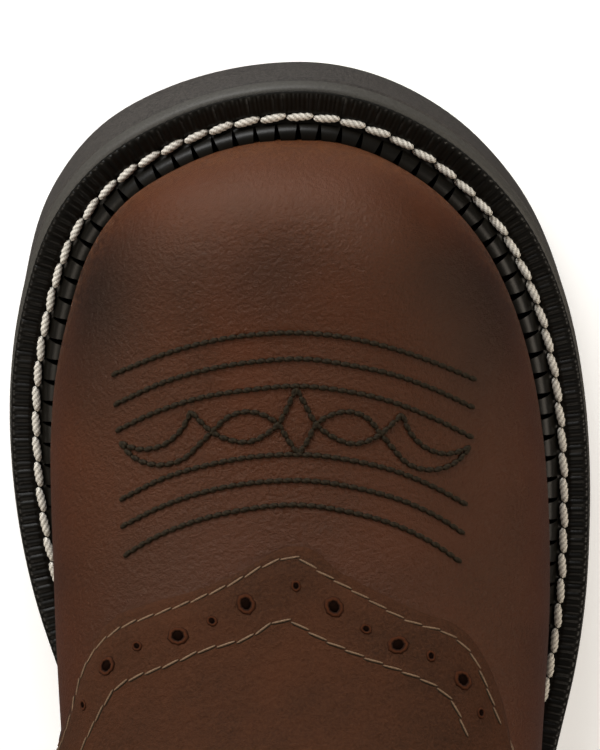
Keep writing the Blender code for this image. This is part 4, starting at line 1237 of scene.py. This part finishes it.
# %% Rows and toe stitching of the vamp
VAMP_ROWS = (
    (
        (112, 375), (162, 355), (212, 341), (262, 334), (304, 333), (349, 338), (398, 350), (443, 366),
        (476, 380)
    ),
    (
        (114, 405), (162, 383), (212, 368.5), (262, 361), (306, 359), (349, 365), (398, 376), (436, 390),
        (474, 408)
    ),
    (
        (116, 431), (155, 412.5), (199.5, 398), (249, 390), (299, 386), (339, 390), (386, 400), (431, 417),
        (473, 438)
    ),
    (
        (120, 500), (162, 479), (212, 464), (262, 456), (311, 455), (349, 460), (398, 472), (436, 488),
        (467, 505)
    ),
    (
        (121, 527), (162, 506.5), (212, 490), (262, 482), (311, 481), (361, 489), (411, 504), (443, 520),
        (464, 534)
    ),
    (
        (124, 556), (150, 540), (187, 524), (237, 511), (299, 505), (349, 512), (398, 526), (436, 545),
        (461, 562.5)
    ),
)
TOE_FIGURE = (
    (
        (191, 411), (200, 421), (212, 432), (230, 440), (249, 442), (265, 435), (278, 424), (287, 408),
        (296, 388)
    ),
    (
        (120, 442), (132, 456), (157, 465), (185, 458), (199.5, 444), (212, 432), (228, 417), (247, 411.5),
        (264, 415), (278, 424), (288, 440), (298.5, 454)
    ),
    ((191, 411), (182, 429), (162, 445.6), (137, 449), (120, 442)),
    (
        (402, 414), (393, 423), (381, 434), (368, 441), (354, 444), (333, 437), (316, 424), (307, 408),
        (296, 388)
    ),
    (
        (470, 447), (456, 462), (431, 470), (408, 464), (393.5, 449), (381, 434), (366, 417), (349, 411.5),
        (331, 415), (316, 424), (308, 440), (298.5, 454)
    ),
    ((402, 414), (411, 434), (428, 449), (448, 454), (470, 447)),
)
DECOR_STITCH, DECOR_THREAD_RADIUS = 0.0016, 0.00046
places = []
for line in VAMP_ROWS + TOE_FIGURE:
    spots, outs = cast_line(line, upper_tree, 0.00012)
    places += row_places(spots, outs, DECOR_STITCH, math.radians(9))
joined(
    "vamp_stitching",
    stitch_form(DECOR_STITCH * 1.15, DECOR_THREAD_RADIUS, 1.0, strands=2, around=8, rings=9), places,
    dark_thread
)

# %% [markdown]
# Saddle: a second hide laid over instep and vamp, its front edge skived thin and cut to a point. It is a
# little more napped than the vamp, so its grain is coarser and its gloss lower.

# %% Saddle leather
saddle_look, shader = new_look("Napped oiled leather", Roughness=0.62, IOR=1.45)
shader.inputs["Specular IOR Level"].default_value = 0.18
shader.inputs["Specular Tint"].default_value = (1.0, 0.80, 0.62, 1.0)
where = add_node(saddle_look, "ShaderNodeTexCoord").outputs["Object"]
clouds = add_node(
    saddle_look, "ShaderNodeTexNoise",
    {"Vector": where, "Scale": 1 / (14 * MILLIMETRE), "Detail": 4.0, "Roughness": 0.6}
).outputs["Fac"]
cloud_part = add_node(
    saddle_look, "ShaderNodeMapRange", {"Value": clouds, "From Min": 0.34, "From Max": 0.66}
).outputs["Result"]
body = add_node(
    saddle_look, "ShaderNodeMix",
    {MIX_PART: cloud_part, MIX_FROM: linear("#2a160b"), MIX_TO: linear("#391d0e")}, data_type="RGBA"
).outputs[MIX_RESULT]
nap = add_node(
    saddle_look, "ShaderNodeTexNoise",
    {"Vector": where, "Scale": 1 / (0.5 * MILLIMETRE), "Detail": 4.0, "Roughness": 0.75}
).outputs["Fac"]
nap_part = add_node(
    saddle_look, "ShaderNodeMapRange", {"Value": nap, "From Min": 0.38, "From Max": 0.68, "To Max": 0.6}
).outputs["Result"]
napped = add_node(
    saddle_look, "ShaderNodeMix", {MIX_PART: nap_part, MIX_FROM: body, MIX_TO: linear("#4a2b1a")},
    data_type="RGBA"
).outputs[MIX_RESULT]
saddle_look.node_tree.links.new(napped, shader.inputs["Base Color"])
pebbles = add_node(
    saddle_look, "ShaderNodeTexVoronoi", {"Vector": where, "Scale": 1 / (1.25 * MILLIMETRE)},
    feature="SMOOTH_F1"
).outputs["Distance"]
relief = add_node(
    saddle_look, "ShaderNodeMath", {0: pebbles, 1: 0.6, 2: nap}, operation="MULTIPLY_ADD"
).outputs[0]
grain = add_node(
    saddle_look, "ShaderNodeBump", {"Height": relief, "Distance": 0.34 * MILLIMETRE, "Strength": 1.0}
).outputs["Normal"]
saddle_look.node_tree.links.new(grain, shader.inputs["Normal"])

# The saddle's cut edge is dyed dark, and its dark is partly painted shade for the step at the front edge.
edge_dye_and_shade, _, _ = two_tone(
    "Dyed cut edge and painted shade", "#120a07", "#25160e", 0.5 * MILLIMETRE, 3.0, Roughness=0.6, IOR=1.45
)

# %% [markdown]
# The saddle is the upper's own face between two edges, lifted a hair. A vertex group thins its wall towards
# front and rear, as a skived edge is thinned, and a Solidify modifier gives it the wall.

# %% The saddle's form
SADDLE_FRONT = (
    ("across", "from_toe"),
    (-0.520, 0.500), (-0.387, 0.401), (-0.365, 0.372), (-0.346, 0.351), (-0.327, 0.334), (-0.298, 0.321),
    (-0.250, 0.311), (-0.165, 0.299), (-0.111, 0.290), (-0.061, 0.279), (-0.032, 0.273), (-0.006, 0.271),
    (0.023, 0.274), (0.057, 0.285), (0.107, 0.296), (0.157, 0.306), (0.206, 0.315), (0.252, 0.323),
    (0.276, 0.332), (0.296, 0.344), (0.313, 0.358), (0.328, 0.375), (0.340, 0.398), (0.346, 0.416),
    (0.520, 0.520),
)
RIDGE_CLEAR = WELT_THICKNESS + RIDGE_HEIGHT + 2 * GAP


def foot_across(station):
    """Across value at which a section comes clear of the welt's ridge."""
    section = section_at(station)
    height = RIDGE_CLEAR / max(section["top"].y - section["bottom"].y, 0.01)
    fall = 1 - height / section["girth"]
    return GIRTH_ACROSS + (1 - GIRTH_ACROSS) * math.asin(max(fall, 0.0)) * 2 / math.pi


def crossing(low, high, across_share, over):
    """Station at which a line over the upper crosses an edge, where over() turns positive."""
    for _ in range(26):
        middle = (low + high) / 2
        point = upper_point(round(middle, 9), across_share * foot_across(round(middle, 9)))
        low, high = (low, middle) if over(point) > 0 else (middle, high)
    return (low + high) / 2


@functools.lru_cache(maxsize=None)
def saddle_ends(across_share):
    front = crossing(
        0.30, 0.80, across_share, lambda p: from_toe(p.y) - read(SADDLE_FRONT, "from_toe", p.x / BALL_WIDTH)
    )
    rear = crossing(
        0.35, 1.20, across_share,
        lambda p: from_toe(p.y) - read(
            SADDLE_REAR, "from_toe", (p.z - footbed(p.y) - RIDGE_CLEAR) / INSTEP_HEIGHT
        ),
    )
    return front, max(rear, front + 0.01)


def saddle_place(u, v):
    across_share = round(2 * u - 1, 6)
    front, rear = saddle_ends(across_share)
    station = round(between(front, rear, v), 9)
    across = across_share * foot_across(station)
    return upper_point(station, across) + upper_normal(station, across) * OVERLAY_LIFT


bm = carried_grid(176, 96, saddle_place)
face_outwards(bm, Z_AXIS)
layer = bm.loops.layers.uv.active
weights = {}
for face in bm.faces:
    for loop in face.loops:
        u, v = loop[layer].uv
        weights[loop.vert.index] = 0.50 + 0.50 * smooth_step(min(v / 0.05, (1 - v) / 0.05))
outer = bm.copy()
outer.normal_update()
outer.verts.ensure_lookup_table()
for vert in outer.verts:
    vert.co += vert.normal * (OVERLAY_THICKNESS * weights[vert.index])
saddle_tree = BVHTree.FromBMesh(outer)
outer.free()
saddle = finish_piece(bm, "saddle_overlay", [saddle_look, edge_dye_and_shade], ("saddle",), sharp=0)
skive = saddle.vertex_groups.new(name="skive")
for index, weight in weights.items():
    skive.add([index], weight, "REPLACE")
wall = saddle.modifiers.new("Wall", "SOLIDIFY")
wall.thickness = OVERLAY_THICKNESS
wall.offset = 1.0
wall.vertex_group = "skive"
wall.material_offset_rim = 1

# %% [markdown]
# The saddle is held by two stitched rows of fine tan thread, with a punched border between them. A dark
# thread lies under each stitch as its shadow. A hole is a dark coin of painted shade with a low rolled lip,
# both closed; the lip is painted dark on its slopes as shade, and keeps the raw leather's colour at its
# crest.

# %% Saddle rows and punched border
SADDLE_OUTER_ROW = (
    (69, 721), (87.5, 662), (98, 646), (117, 630), (158, 613.5), (195, 600), (231, 584), (271, 563),
    (294, 557), (320, 572), (366, 598), (406, 620), (455, 638), (472, 655), (485.5, 684), (501, 727),
)
SADDLE_INNER_ROW = (
    (92, 727), (104, 705), (117, 687), (133.5, 678), (167, 665.5), (204, 650), (244, 639.5), (285, 620),
    (320, 638), (366, 658), (406, 673), (436.5, 687), (452, 701), (464, 728),
)
SADDLE_STITCH, SADDLE_THREAD_RADIUS = 0.0034, 0.00020
SADDLE_ROW_LIFT = 0.00005
front_edge = [saddle_place(step / 240, 0.0) for step in range(241)]


def carried_on(spots, outs, lift):
    """A cast row carried on beside the saddle's front edge, down to the welt on both sides."""
    for at_end in (True, False):
        last = spots[-1] if at_end else spots[0]
        nearest = min(range(1, 240), key=lambda step: (front_edge[step] - last).length)
        away = (front_edge[nearest] - last).length
        for step in (range(nearest, 240) if at_end else range(nearest, 0, -1)):
            here = front_edge[step]
            if (
                (here - front_edge[nearest]).length < 0.003
                or here.z - footbed(here.y) < RIDGE_CLEAR + 0.001
            ):
                continue
            along = front_edge[step + 1] - front_edge[step - 1]
            _, out, _, _ = saddle_tree.find_nearest(here)
            back = out.cross(along).normalized()
            back = back if back.y < 0 else -back
            place, out, _, _ = saddle_tree.find_nearest(here + back * away)
            out = out if out.dot(place - Vector((0.0, place.y, footbed(place.y)))) > 0 else -out
            spots.insert(len(spots) if at_end else 0, place + out * lift)
            outs.insert(len(outs) if at_end else 0, out)
    return spots, outs


places = []
for line in (SADDLE_OUTER_ROW, SADDLE_INNER_ROW):
    spots, outs = carried_on(*cast_line(line, saddle_tree, SADDLE_ROW_LIFT), SADDLE_ROW_LIFT)
    places += row_places(spots, outs, SADDLE_STITCH, math.radians(6))
joined(
    "saddle_stitching",
    stitch_form(SADDLE_STITCH * 1.02, SADDLE_THREAD_RADIUS, 3.5, strands=2, around=6, rings=21), places,
    tan_thread
)
sunk = [
    frame_of(
        place.translation - place.col[1].xyz * 0.00013 - place.col[2].xyz * 0.00004, place.col[0].xyz,
        place.col[2].xyz
    )
    for place in places
]
joined(
    "saddle_seam_shadow",
    stitch_form(SADDLE_STITCH * 1.1, 0.00024, 0.0, strands=2, around=8, rings=5, squash=0.4), sunk,
    dark_thread
)

# A hole's inside is near black: painted shade where the hole falls into shadow.
punched, shader, _ = two_tone(
    "Painted shade of a punched hole", "#070403", "#150b07", 0.6 * MILLIMETRE, 3.0, Roughness=0.9, IOR=1.4
)
shader.inputs["Specular IOR Level"].default_value = 0.0
raw_edge, shader = new_look("Raw leather rim", Roughness=0.85, IOR=1.45)
where = add_node(raw_edge, "ShaderNodeTexCoord").outputs["Object"]
fibre = add_node(
    raw_edge, "ShaderNodeTexNoise", {"Vector": where, "Scale": 1 / (0.5 * MILLIMETRE), "Detail": 3.0}
).outputs["Fac"]
raw = add_node(
    raw_edge, "ShaderNodeMix", {MIX_PART: fibre, MIX_FROM: linear("#2a160b"), MIX_TO: linear("#4c2815")},
    data_type="RGBA"
).outputs[MIX_RESULT]
# Painted shade on the lip's slopes, fading to the raw colour at its crest.
crest = add_node(raw_edge, "ShaderNodeAttribute", attribute_name="crown").outputs["Fac"]
shaded = add_node(
    raw_edge, "ShaderNodeMix", {MIX_PART: crest, MIX_FROM: linear("#100805"), MIX_TO: raw}, data_type="RGBA"
).outputs[MIX_RESULT]
raw_edge.node_tree.links.new(shaded, shader.inputs["Base Color"])
shader.inputs["Specular IOR Level"].default_value = 0.08


def ragged(bm):
    """Makes a round form a little uneven, as a punch leaves oiled leather."""
    for vert in bm.verts:
        angle = math.atan2(vert.co.y, vert.co.x)
        swell = (
            1 + 0.10 * math.cos(2 * angle + 1.0) + 0.03 * math.cos(5 * angle)
            + 0.04 * math.cos(9 * angle + 2.0)
        )
        vert.co.x *= swell
        vert.co.y *= swell


COIN_THICKNESS = 0.0002


def disc_form(radius):
    """A hole's painted shade, a thin dark coin with its top at the leather's face."""
    bm = bmesh.new()
    bmesh.ops.create_cone(
        bm, cap_ends=True, cap_tris=True, segments=18, radius1=radius, radius2=radius, depth=COIN_THICKNESS
    )
    bmesh.ops.translate(bm, vec=(0.0, 0.0, -COIN_THICKNESS / 2), verts=bm.verts)
    ragged(bm)
    return bm


def lip_form(radius, lip):
    """A low rolled lip round a hole, painted dark on its slopes as shade and raw at its crest."""
    bm = bmesh.new()
    crown_layer = bm.verts.layers.float.new("crown")
    bmesh.ops.create_circle(bm, segments=18, radius=radius * 0.8)
    rims = bm.edges[:]
    for width, rise, crown in (
        (radius * 0.2, 0.00009, 0.35), (lip * 0.35, 0.00009, 1.0), (lip * 0.4, -0.00004, 0.8),
        (lip * 0.6, -0.00022, 0.3)
    ):
        made = bmesh.ops.extrude_edge_only(bm, edges=rims)["geom"]
        rims = [item for item in made if isinstance(item, bmesh.types.BMEdge)]
        for vert in [item for item in made if isinstance(item, bmesh.types.BMVert)]:
            flat = Vector((vert.co.x, vert.co.y, 0.0)).normalized()
            vert.co += flat * width + Vector((0.0, 0.0, rise))
            vert[crown_layer] = crown
    bmesh.ops.bridge_loops(bm, edges=[rim for rim in bm.edges if rim.is_boundary])
    bmesh.ops.recalc_face_normals(bm, faces=bm.faces)
    ragged(bm)
    return bm


LARGE_HOLES = ((106.5, 666), (178, 636), (246, 604), (334, 607), (398, 645), (463, 680))
SMALL_HOLES = ((83, 705), (137, 646), (212, 621), (296, 586), (366, 629), (431, 656), (481, 713))


def hole_places(spots):
    made = []
    for column_px, row_px in spots:
        place, out, _, _ = saddle_tree.ray_cast(CAMERA_PLACE, ray_through(column_px, row_px))
        out = out if out.z > 0 else -out
        made.append(frame_of(place + out * 0.00004, Vector((0.0, 1.0, 0.0)), out, slant=column_px))
    return made


for size, spots, radius, lip in (
    ("large", LARGE_HOLES, 0.00105, 0.00055), ("small", SMALL_HOLES, 0.00052, 0.00036)
):
    joined(size + "_hole_shades", disc_form(radius), hole_places(spots), punched)
    joined(size + "_hole_lips", lip_form(radius, lip), hole_places(spots), raw_edge)

# %% [markdown]
# Counter and side piping are cut from the upper's own face, as a clicker cuts them to fit: the face is grown
# out by the leather's thickness, and only what lies inside an outline in side view is kept.

# %% Overlays cut by a side outline
def fine_face(first, last, rows):
    """The upper's face between two stations, lifted a hair."""
    bm = carried_grid(144, rows, lambda u, v: upper_point(round(between(first, last, v), 9), 2 * u - 1))
    bmesh.ops.remove_doubles(bm, verts=bm.verts, dist=MERGE)
    face_outwards(bm, X_AXIS)
    for vert, out in [(vert, vert.normal.copy()) for vert in bm.verts]:
        vert.co += out * OVERLAY_LIFT
    return bm


def side_prism(outline, x_from, x_to):
    bm = bmesh.new()
    face = bm.faces.new([bm.verts.new((x_from, y, z)) for y, z in outline])
    made = bmesh.ops.extrude_face_region(bm, geom=[face])["geom"]
    bmesh.ops.translate(
        bm, vec=(x_to - x_from, 0.0, 0.0),
        verts=[item for item in made if isinstance(item, bmesh.types.BMVert)]
    )
    bmesh.ops.recalc_face_normals(bm, faces=bm.faces)
    return bm


# %% [markdown]
# The counter is cut by its curved edge and the piping by a plain strip. Both start from the same fine face.

# %% The counter and the side piping
COUNTER_LENGTH, COUNTER_HEIGHT = 0.0650, 0.0600
STRAP_DROP, PIPING_WIDTH, PIPING_FOOT = 0.0450, 0.0050, 0.0880
heel_y = float(feather_line(LATERAL)[0][-1])
seat_z = footbed(heel_y)


def smooth_table(table, first, second, count):
    """Even steps along a table, both columns smoothed by the row number."""
    rows = np.array(table[1:])
    at = np.linspace(0, len(rows) - 1, count)
    return [
        (
            float(np.interp(a, range(len(rows)), rows[:, first])),
            float(np.interp(a, range(len(rows)), rows[:, second]))
        )
        for a in at
    ]


counter_line = [
    (heel_y + forward * COUNTER_LENGTH, seat_z + rise * COUNTER_HEIGHT) for forward,
    rise in smooth_table(COUNTER_EDGE, 0, 1, 25)
]
counter_outline = counter_line + [(counter_line[-1][0], counter_line[0][1])]
bm = cut_mesh(
    fine_face(0.45, 1.68, 120), side_prism(counter_outline, -BALL_WIDTH, BALL_WIDTH), "INTERSECT",
    OVERLAY_THICKNESS
)
counter_tree = BVHTree.FromBMesh(bm)
finish_piece(bm, "heel_counter", [saddle_look], ("counter",), sharp=35)

collar = section_at(2.0)
middle_y = (collar["bottom"].x + collar["top"].x) / 2
piping, shader, where = two_tone(
    "Dark piping leather", "#1d120c", "#35211a", 5 * MILLIMETRE, 4.0, Roughness=0.5, IOR=1.45
)
cells = add_node(
    piping, "ShaderNodeTexVoronoi", {"Vector": where, "Scale": 1 / (0.9 * MILLIMETRE)}, feature="SMOOTH_F1"
).outputs["Distance"]
grain = add_node(
    piping, "ShaderNodeBump", {"Height": cells, "Distance": 0.12 * MILLIMETRE, "Strength": 0.7}
).outputs["Normal"]
piping.node_tree.links.new(grain, shader.inputs["Normal"])
piping_top = SHAFT_HEIGHT - STRAP_DROP - 2 * GAP
strip = [(middle_y - PIPING_WIDTH / 2, PIPING_FOOT), (middle_y + PIPING_WIDTH / 2, PIPING_FOOT),
         (middle_y + PIPING_WIDTH / 2, piping_top), (middle_y - PIPING_WIDTH / 2, piping_top)]
for side, name in SIDE_NAMES.items():
    ends = sorted((0.0, side * BALL_WIDTH))
    bm = cut_mesh(fine_face(0.45, 2.0, 130), side_prism(strip, *ends), "INTERSECT", OVERLAY_THICKNESS)
    finish_piece(bm, "side_piping_" + name, [piping], ("side_seam_" + name,), sharp=35)

# %% [markdown]
# Collar binding: a narrow strip rolled over the rim. It is a ring swept round the rim with a round section.

# %% The collar binding
BEAD_RADIUS = 0.0015


def bead_place(u, v):
    across = 2 * (u % 1.0) - 1
    rim = upper_point(2.0, across)
    after = upper_point(2.0, (across + 0.004 + 1) % 2 - 1)
    before = upper_point(2.0, (across - 0.004 + 1) % 2 - 1)
    along = after - before
    inwards = Vector((along.y, -along.x, 0.0)).normalized()
    angle = math.tau * v
    centre = rim + inwards * (UPPER_WALL / 2) + Vector((0.0, 0.0, BEAD_RADIUS - 0.0002))
    return centre + inwards * (BEAD_RADIUS * 1.05 * math.cos(angle)) + Vector(
        (0.0, 0.0, BEAD_RADIUS * math.sin(angle))
    )


finish_piece(
    carried_grid(180, 12, bead_place, weld=True), "collar_binding", [piping], ("collar_bead",),
    sharp=0
)

# %% [markdown]
# Pull straps: webbing looped over the rim at both sides and sewn down inside and outside. The weave's
# ribs run across the strap, about 1.4 mm apart, and follow its own UV map.

# %% The pull straps
STRAP_WIDTH, STRAP_THICKNESS, STRAP_RISE = 0.0280, 0.0018, 0.0200
STRAP_SPREAD, STRAP_CLEARANCE = 0.0058, 0.0007
webbing, shader = new_look("Woven pull webbing", Roughness=0.75, IOR=1.45)
strap_uv = add_node(webbing, "ShaderNodeUVMap", uv_map="UVMap").outputs["UV"]
mesh_place = add_node(
    webbing, "ShaderNodeMapping", {"Vector": strap_uv, "Scale": (20.0, 100.0, 1.0)}
).outputs["Vector"]
ribs = add_node(
    webbing, "ShaderNodeTexWave", {"Vector": mesh_place, "Scale": 0.314, "Distortion": 0.6},
    bands_direction="Y"
).outputs["Fac"]
warp = add_node(
    webbing, "ShaderNodeTexWave", {"Vector": mesh_place, "Scale": 0.314, "Distortion": 0.4},
    bands_direction="X"
).outputs["Fac"]
weave = add_node(webbing, "ShaderNodeMath", {0: ribs, 1: warp}, operation="MULTIPLY").outputs[0]
yarn = add_node(
    webbing, "ShaderNodeMix", {MIX_PART: weave, MIX_FROM: linear("#1e130d"), MIX_TO: linear("#4a3024")},
    data_type="RGBA"
).outputs[MIX_RESULT]
webbing.node_tree.links.new(yarn, shader.inputs["Base Color"])
rise = add_node(
    webbing, "ShaderNodeBump", {"Height": weave, "Distance": 0.3 * MILLIMETRE, "Strength": 0.9}
).outputs["Normal"]
webbing.node_tree.links.new(rise, shader.inputs["Normal"])


def half_at(side, y, z):
    """Half width of the shaft's outer face at a place in side view."""
    low, high = 1.0, 2.0
    for _ in range(24):
        middle = (low + high) / 2
        section = plain_section(round(middle, 7))
        chord = section["top"] - section["bottom"]
        over = chord.x * (z - section["bottom"].y) - chord.y * (y - section["bottom"].x)
        low, high = (middle, high) if over > 0 else (low, middle)
    section = plain_section(round((low + high) / 2, 7))
    height = (y - section["bottom"].x) / (section["top"] - section["bottom"]).x
    span = 1 - section["girth"] if height > section["girth"] else section["girth"]
    return section[side] * math.sqrt(max(1 - ((height - section["girth"]) / span) ** 2, 0.0))


wall_middle = -UPPER_WALL / 2
leg_out = UPPER_WALL / 2 + STRAP_CLEARANCE
arch = [
    (between(leg_out, STRAP_SPREAD, read(STRAP_ARCH, "spread", rise)), rise * STRAP_RISE)
    for rise in np.linspace(0.04, 0.97, 16)
]
outer_leg = [(wall_middle + leg_out, -STRAP_DROP * part) for part in np.linspace(1.0, 0.04, 14)]
strap_path = outer_leg + [(wall_middle + wide, rise) for wide, rise in arch]
strap_path += [
    (wall_middle + leg_out * 0.6, STRAP_RISE * 0.992), (wall_middle, STRAP_RISE),
    (wall_middle - leg_out * 0.6, STRAP_RISE * 0.992)
]
strap_path += [(wall_middle - wide, rise) for wide, rise in reversed(arch)]
strap_path += [(wall_middle - leg_out, rise) for _, rise in reversed(outer_leg)]


def strap_place(side, u, v):
    y = middle_y + STRAP_WIDTH * (u - 0.5)
    out, rise = strap_path[round(v * (len(strap_path) - 1))]
    z = SHAFT_HEIGHT + rise
    return Vector((side * (half_at(side, y, min(z, SHAFT_HEIGHT)) + out), y, z))


strap_trees = {}
for side, name in SIDE_NAMES.items():
    bm = carried_grid(14, len(strap_path) - 1, lambda u, v: strap_place(side, u, v))
    face_outwards(bm, Z_AXIS)
    grown = bm.copy()
    grown.normal_update()
    for vert, out in [(vert, vert.normal.copy()) for vert in grown.verts]:
        vert.co += out * STRAP_THICKNESS
    strap_trees[side] = BVHTree.FromBMesh(grown)
    grown.free()
    strap = finish_piece(
        bm, "pull_loop_" + name, [webbing], ("pull_strap_" + name,), sharp=0
    )
    wall = strap.modifiers.new("Wall", "SOLIDIFY")
    wall.thickness, wall.offset = STRAP_THICKNESS, 1.0

# %% [markdown]
# Rows that hold overlays, straps and binding are laid out in side view and cast onto the boot from
# that side.

# %% Rows seen from the side
def side_line(points, side, trees, lift):
    spots, outs = [], []
    for y, z in points:
        for tree in trees:
            place, out, _, _ = tree.ray_cast(Vector((side * 0.2, y, z)), Vector((-side, 0.0, 0.0)))
            if place is not None:
                break
        if place is None:
            continue
        out = out if out.x * side > 0 else -out
        spots.append(place + out * lift)
        outs.append(out)
    return spots, outs


def parallel(points, away):
    """A line beside a line of points."""
    made = []
    for before, here, after in zip(points[:1] + points, points, points[1:] + points[-1:]):
        dy, dz = after[0] - before[0], after[1] - before[1]
        size = math.hypot(dy, dz) or 1.0
        made.append((here[0] - dz / size * away, here[1] + dy / size * away))
    return made


SEAM_STITCH, SEAM_THREAD_RADIUS = 0.0031, 0.00034
ROW_LIFT, ROW_SLANT = 0.00008, 0.1
COLLAR_ROW = 1.965
places = []
for side in SIDE_NAMES:
    for away in (0.0028, 0.0058):
        line = [
            (y, z) for y,
            z in parallel(counter_line, away) if z > seat_z + RIDGE_CLEAR and y > heel_y - 0.012
        ]
        places += row_places(*side_line(line, side, [counter_tree], ROW_LIFT), SEAM_STITCH, ROW_SLANT)
    rear_line = [
        (at_share(share), footbed(at_share(share)) + RIDGE_CLEAR + rise * INSTEP_HEIGHT) for rise,
        share in smooth_table(SADDLE_REAR, 0, 1, 40)
    ]
    for away in (-0.0028, -0.0058):
        places += row_places(
            *side_line(parallel(rear_line, away), side, [saddle_tree], ROW_LIFT), SEAM_STITCH, ROW_SLANT
        )
    for offset in (-PIPING_WIDTH / 2 - 0.0016, PIPING_WIDTH / 2 + 0.0016):
        line = [(middle_y + offset, z) for z in np.linspace(PIPING_FOOT, piping_top, 60)]
        places += row_places(*side_line(line, side, [upper_tree], ROW_LIFT), SEAM_STITCH, ROW_SLANT)
    box = [(middle_y + y * (STRAP_WIDTH / 2 - 0.0022), SHAFT_HEIGHT - STRAP_DROP + z) for y, z in
           ((-1, 0.022), (-1, 0.0025), (1, 0.0025), (1, 0.022), (-1, 0.022), (1, 0.0025))]
    for start, end in zip(box, box[1:]):
        line = [
            (between(start[0], end[0], part), between(start[1], end[1], part))
            for part in np.linspace(0, 1, 14)
        ]
        places += row_places(*side_line(line, side, [strap_trees[side]], 0.0001), SEAM_STITCH, ROW_SLANT)
ring = [float(across) for across in np.linspace(-1.0, 1.0, 220)]
outs = [upper_normal(COLLAR_ROW, across) for across in ring]
spots = [upper_point(COLLAR_ROW, across) + out * ROW_LIFT for across, out in zip(ring, outs)]
places += row_places(spots, outs, SEAM_STITCH, ROW_SLANT)
joined(
    "seam_stitching", stitch_form(SEAM_STITCH * 0.9, SEAM_THREAD_RADIUS, 1.2, strands=2, around=8, rings=6),
    places, dark_thread
)

# %% [markdown]
# The heel is built up of lifts, glued and then ground to one taper. Three shallow lines show the lifts, and
# the top lift that stands on the floor is a block of its own.

# %% The heel
HEEL_TAPER, HEEL_LIFT_HEIGHT, BREAST_HOLLOW = 0.0030, 0.0070, 0.0040
HEEL_GROOVE_LENGTH = BALL_WIDTH * 0.62 - 0.016


def heel_outline(inset, count=96):
    start = turn_of(HEEL_BREAST)
    points = [
        edge(round(between(start, math.tau - start, step / count), 9), inset) for step in range(count + 1)
    ]
    first, last = points[-1], points[0]
    for step in range(1, 20):
        part = step / 20
        place = first.lerp(last, part)
        points.append(Vector((place.x, place.y - BREAST_HOLLOW * (1 - (2 * part - 1) ** 2))))
    return points


def heel_form(profile):
    """A closed block of the heel's outline, from its profile of (height, inset) from the floor up."""
    outlines = [
        heel_outline(SOLE_UNDERCUT + HEEL_TAPER * (1 - height / HEEL_HEIGHT) + inset) for height,
        inset in profile
    ]
    count = len(outlines[0])

    def place(u, v):
        row = round(v * (len(profile) - 1))
        point = outlines[row][round(u * count) % count]
        return Vector((point.x, point.y, profile[row][0]))

    bm = carried_grid(count, len(profile) - 1, place, weld=True)
    rims = [rim for rim in bm.edges if rim.is_boundary]
    for height in (profile[0][0], profile[-1][0]):
        ring = [rim for rim in rims if all(abs(vert.co.z - height) < 1e-6 for vert in rim.verts)]
        bmesh.ops.contextual_create(bm, geom=ring)
    bmesh.ops.recalc_face_normals(bm, faces=bm.faces)
    return bm


base_low, base_high = HEEL_LIFT_HEIGHT + GAP, HEEL_HEIGHT - GAP
base_profile = [(base_low, 0.0002)]
for lift in range(3):
    low = between(base_low, base_high, lift / 3)
    high = between(base_low, base_high, (lift + 1) / 3)
    base_profile += [(low + 0.0003, 0.0), (high - 0.0003, 0.0), (high, 0.0002)]
finish_piece(
    heel_form(base_profile), "stacked_heel", [sole_rubber], ("heel_base",), sharp=50
)

grooves = bmesh.new()
for place in (-1, 1):
    made = bmesh.ops.create_cube(grooves, size=1.0)["verts"]
    bmesh.ops.scale(grooves, vec=(HEEL_GROOVE_LENGTH, GROOVE_WIDTH, 2 * GROOVE_DEPTH), verts=made)
    bmesh.ops.translate(grooves, vec=(0.0, place * GROOVE_PITCH, 0.0), verts=made)
top_lift = cut_mesh(
    heel_form([(0.0, 0.0003), (0.0004, 0.0), (HEEL_LIFT_HEIGHT - 0.0002, 0.0), (HEEL_LIFT_HEIGHT, 0.0002)]),
    grooves, "DIFFERENCE"
)
finish_piece(top_lift, "top_lift", [sole_rubber], ("heel_top_lift",), sharp=35)

# %% [markdown]
# The insole board shows only down inside the boot. Its solid is right as it is, so it only gets a leather.

# %% The insole
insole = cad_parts["insole"]
insole.data.materials.clear()
insole.data.materials.append(lining)
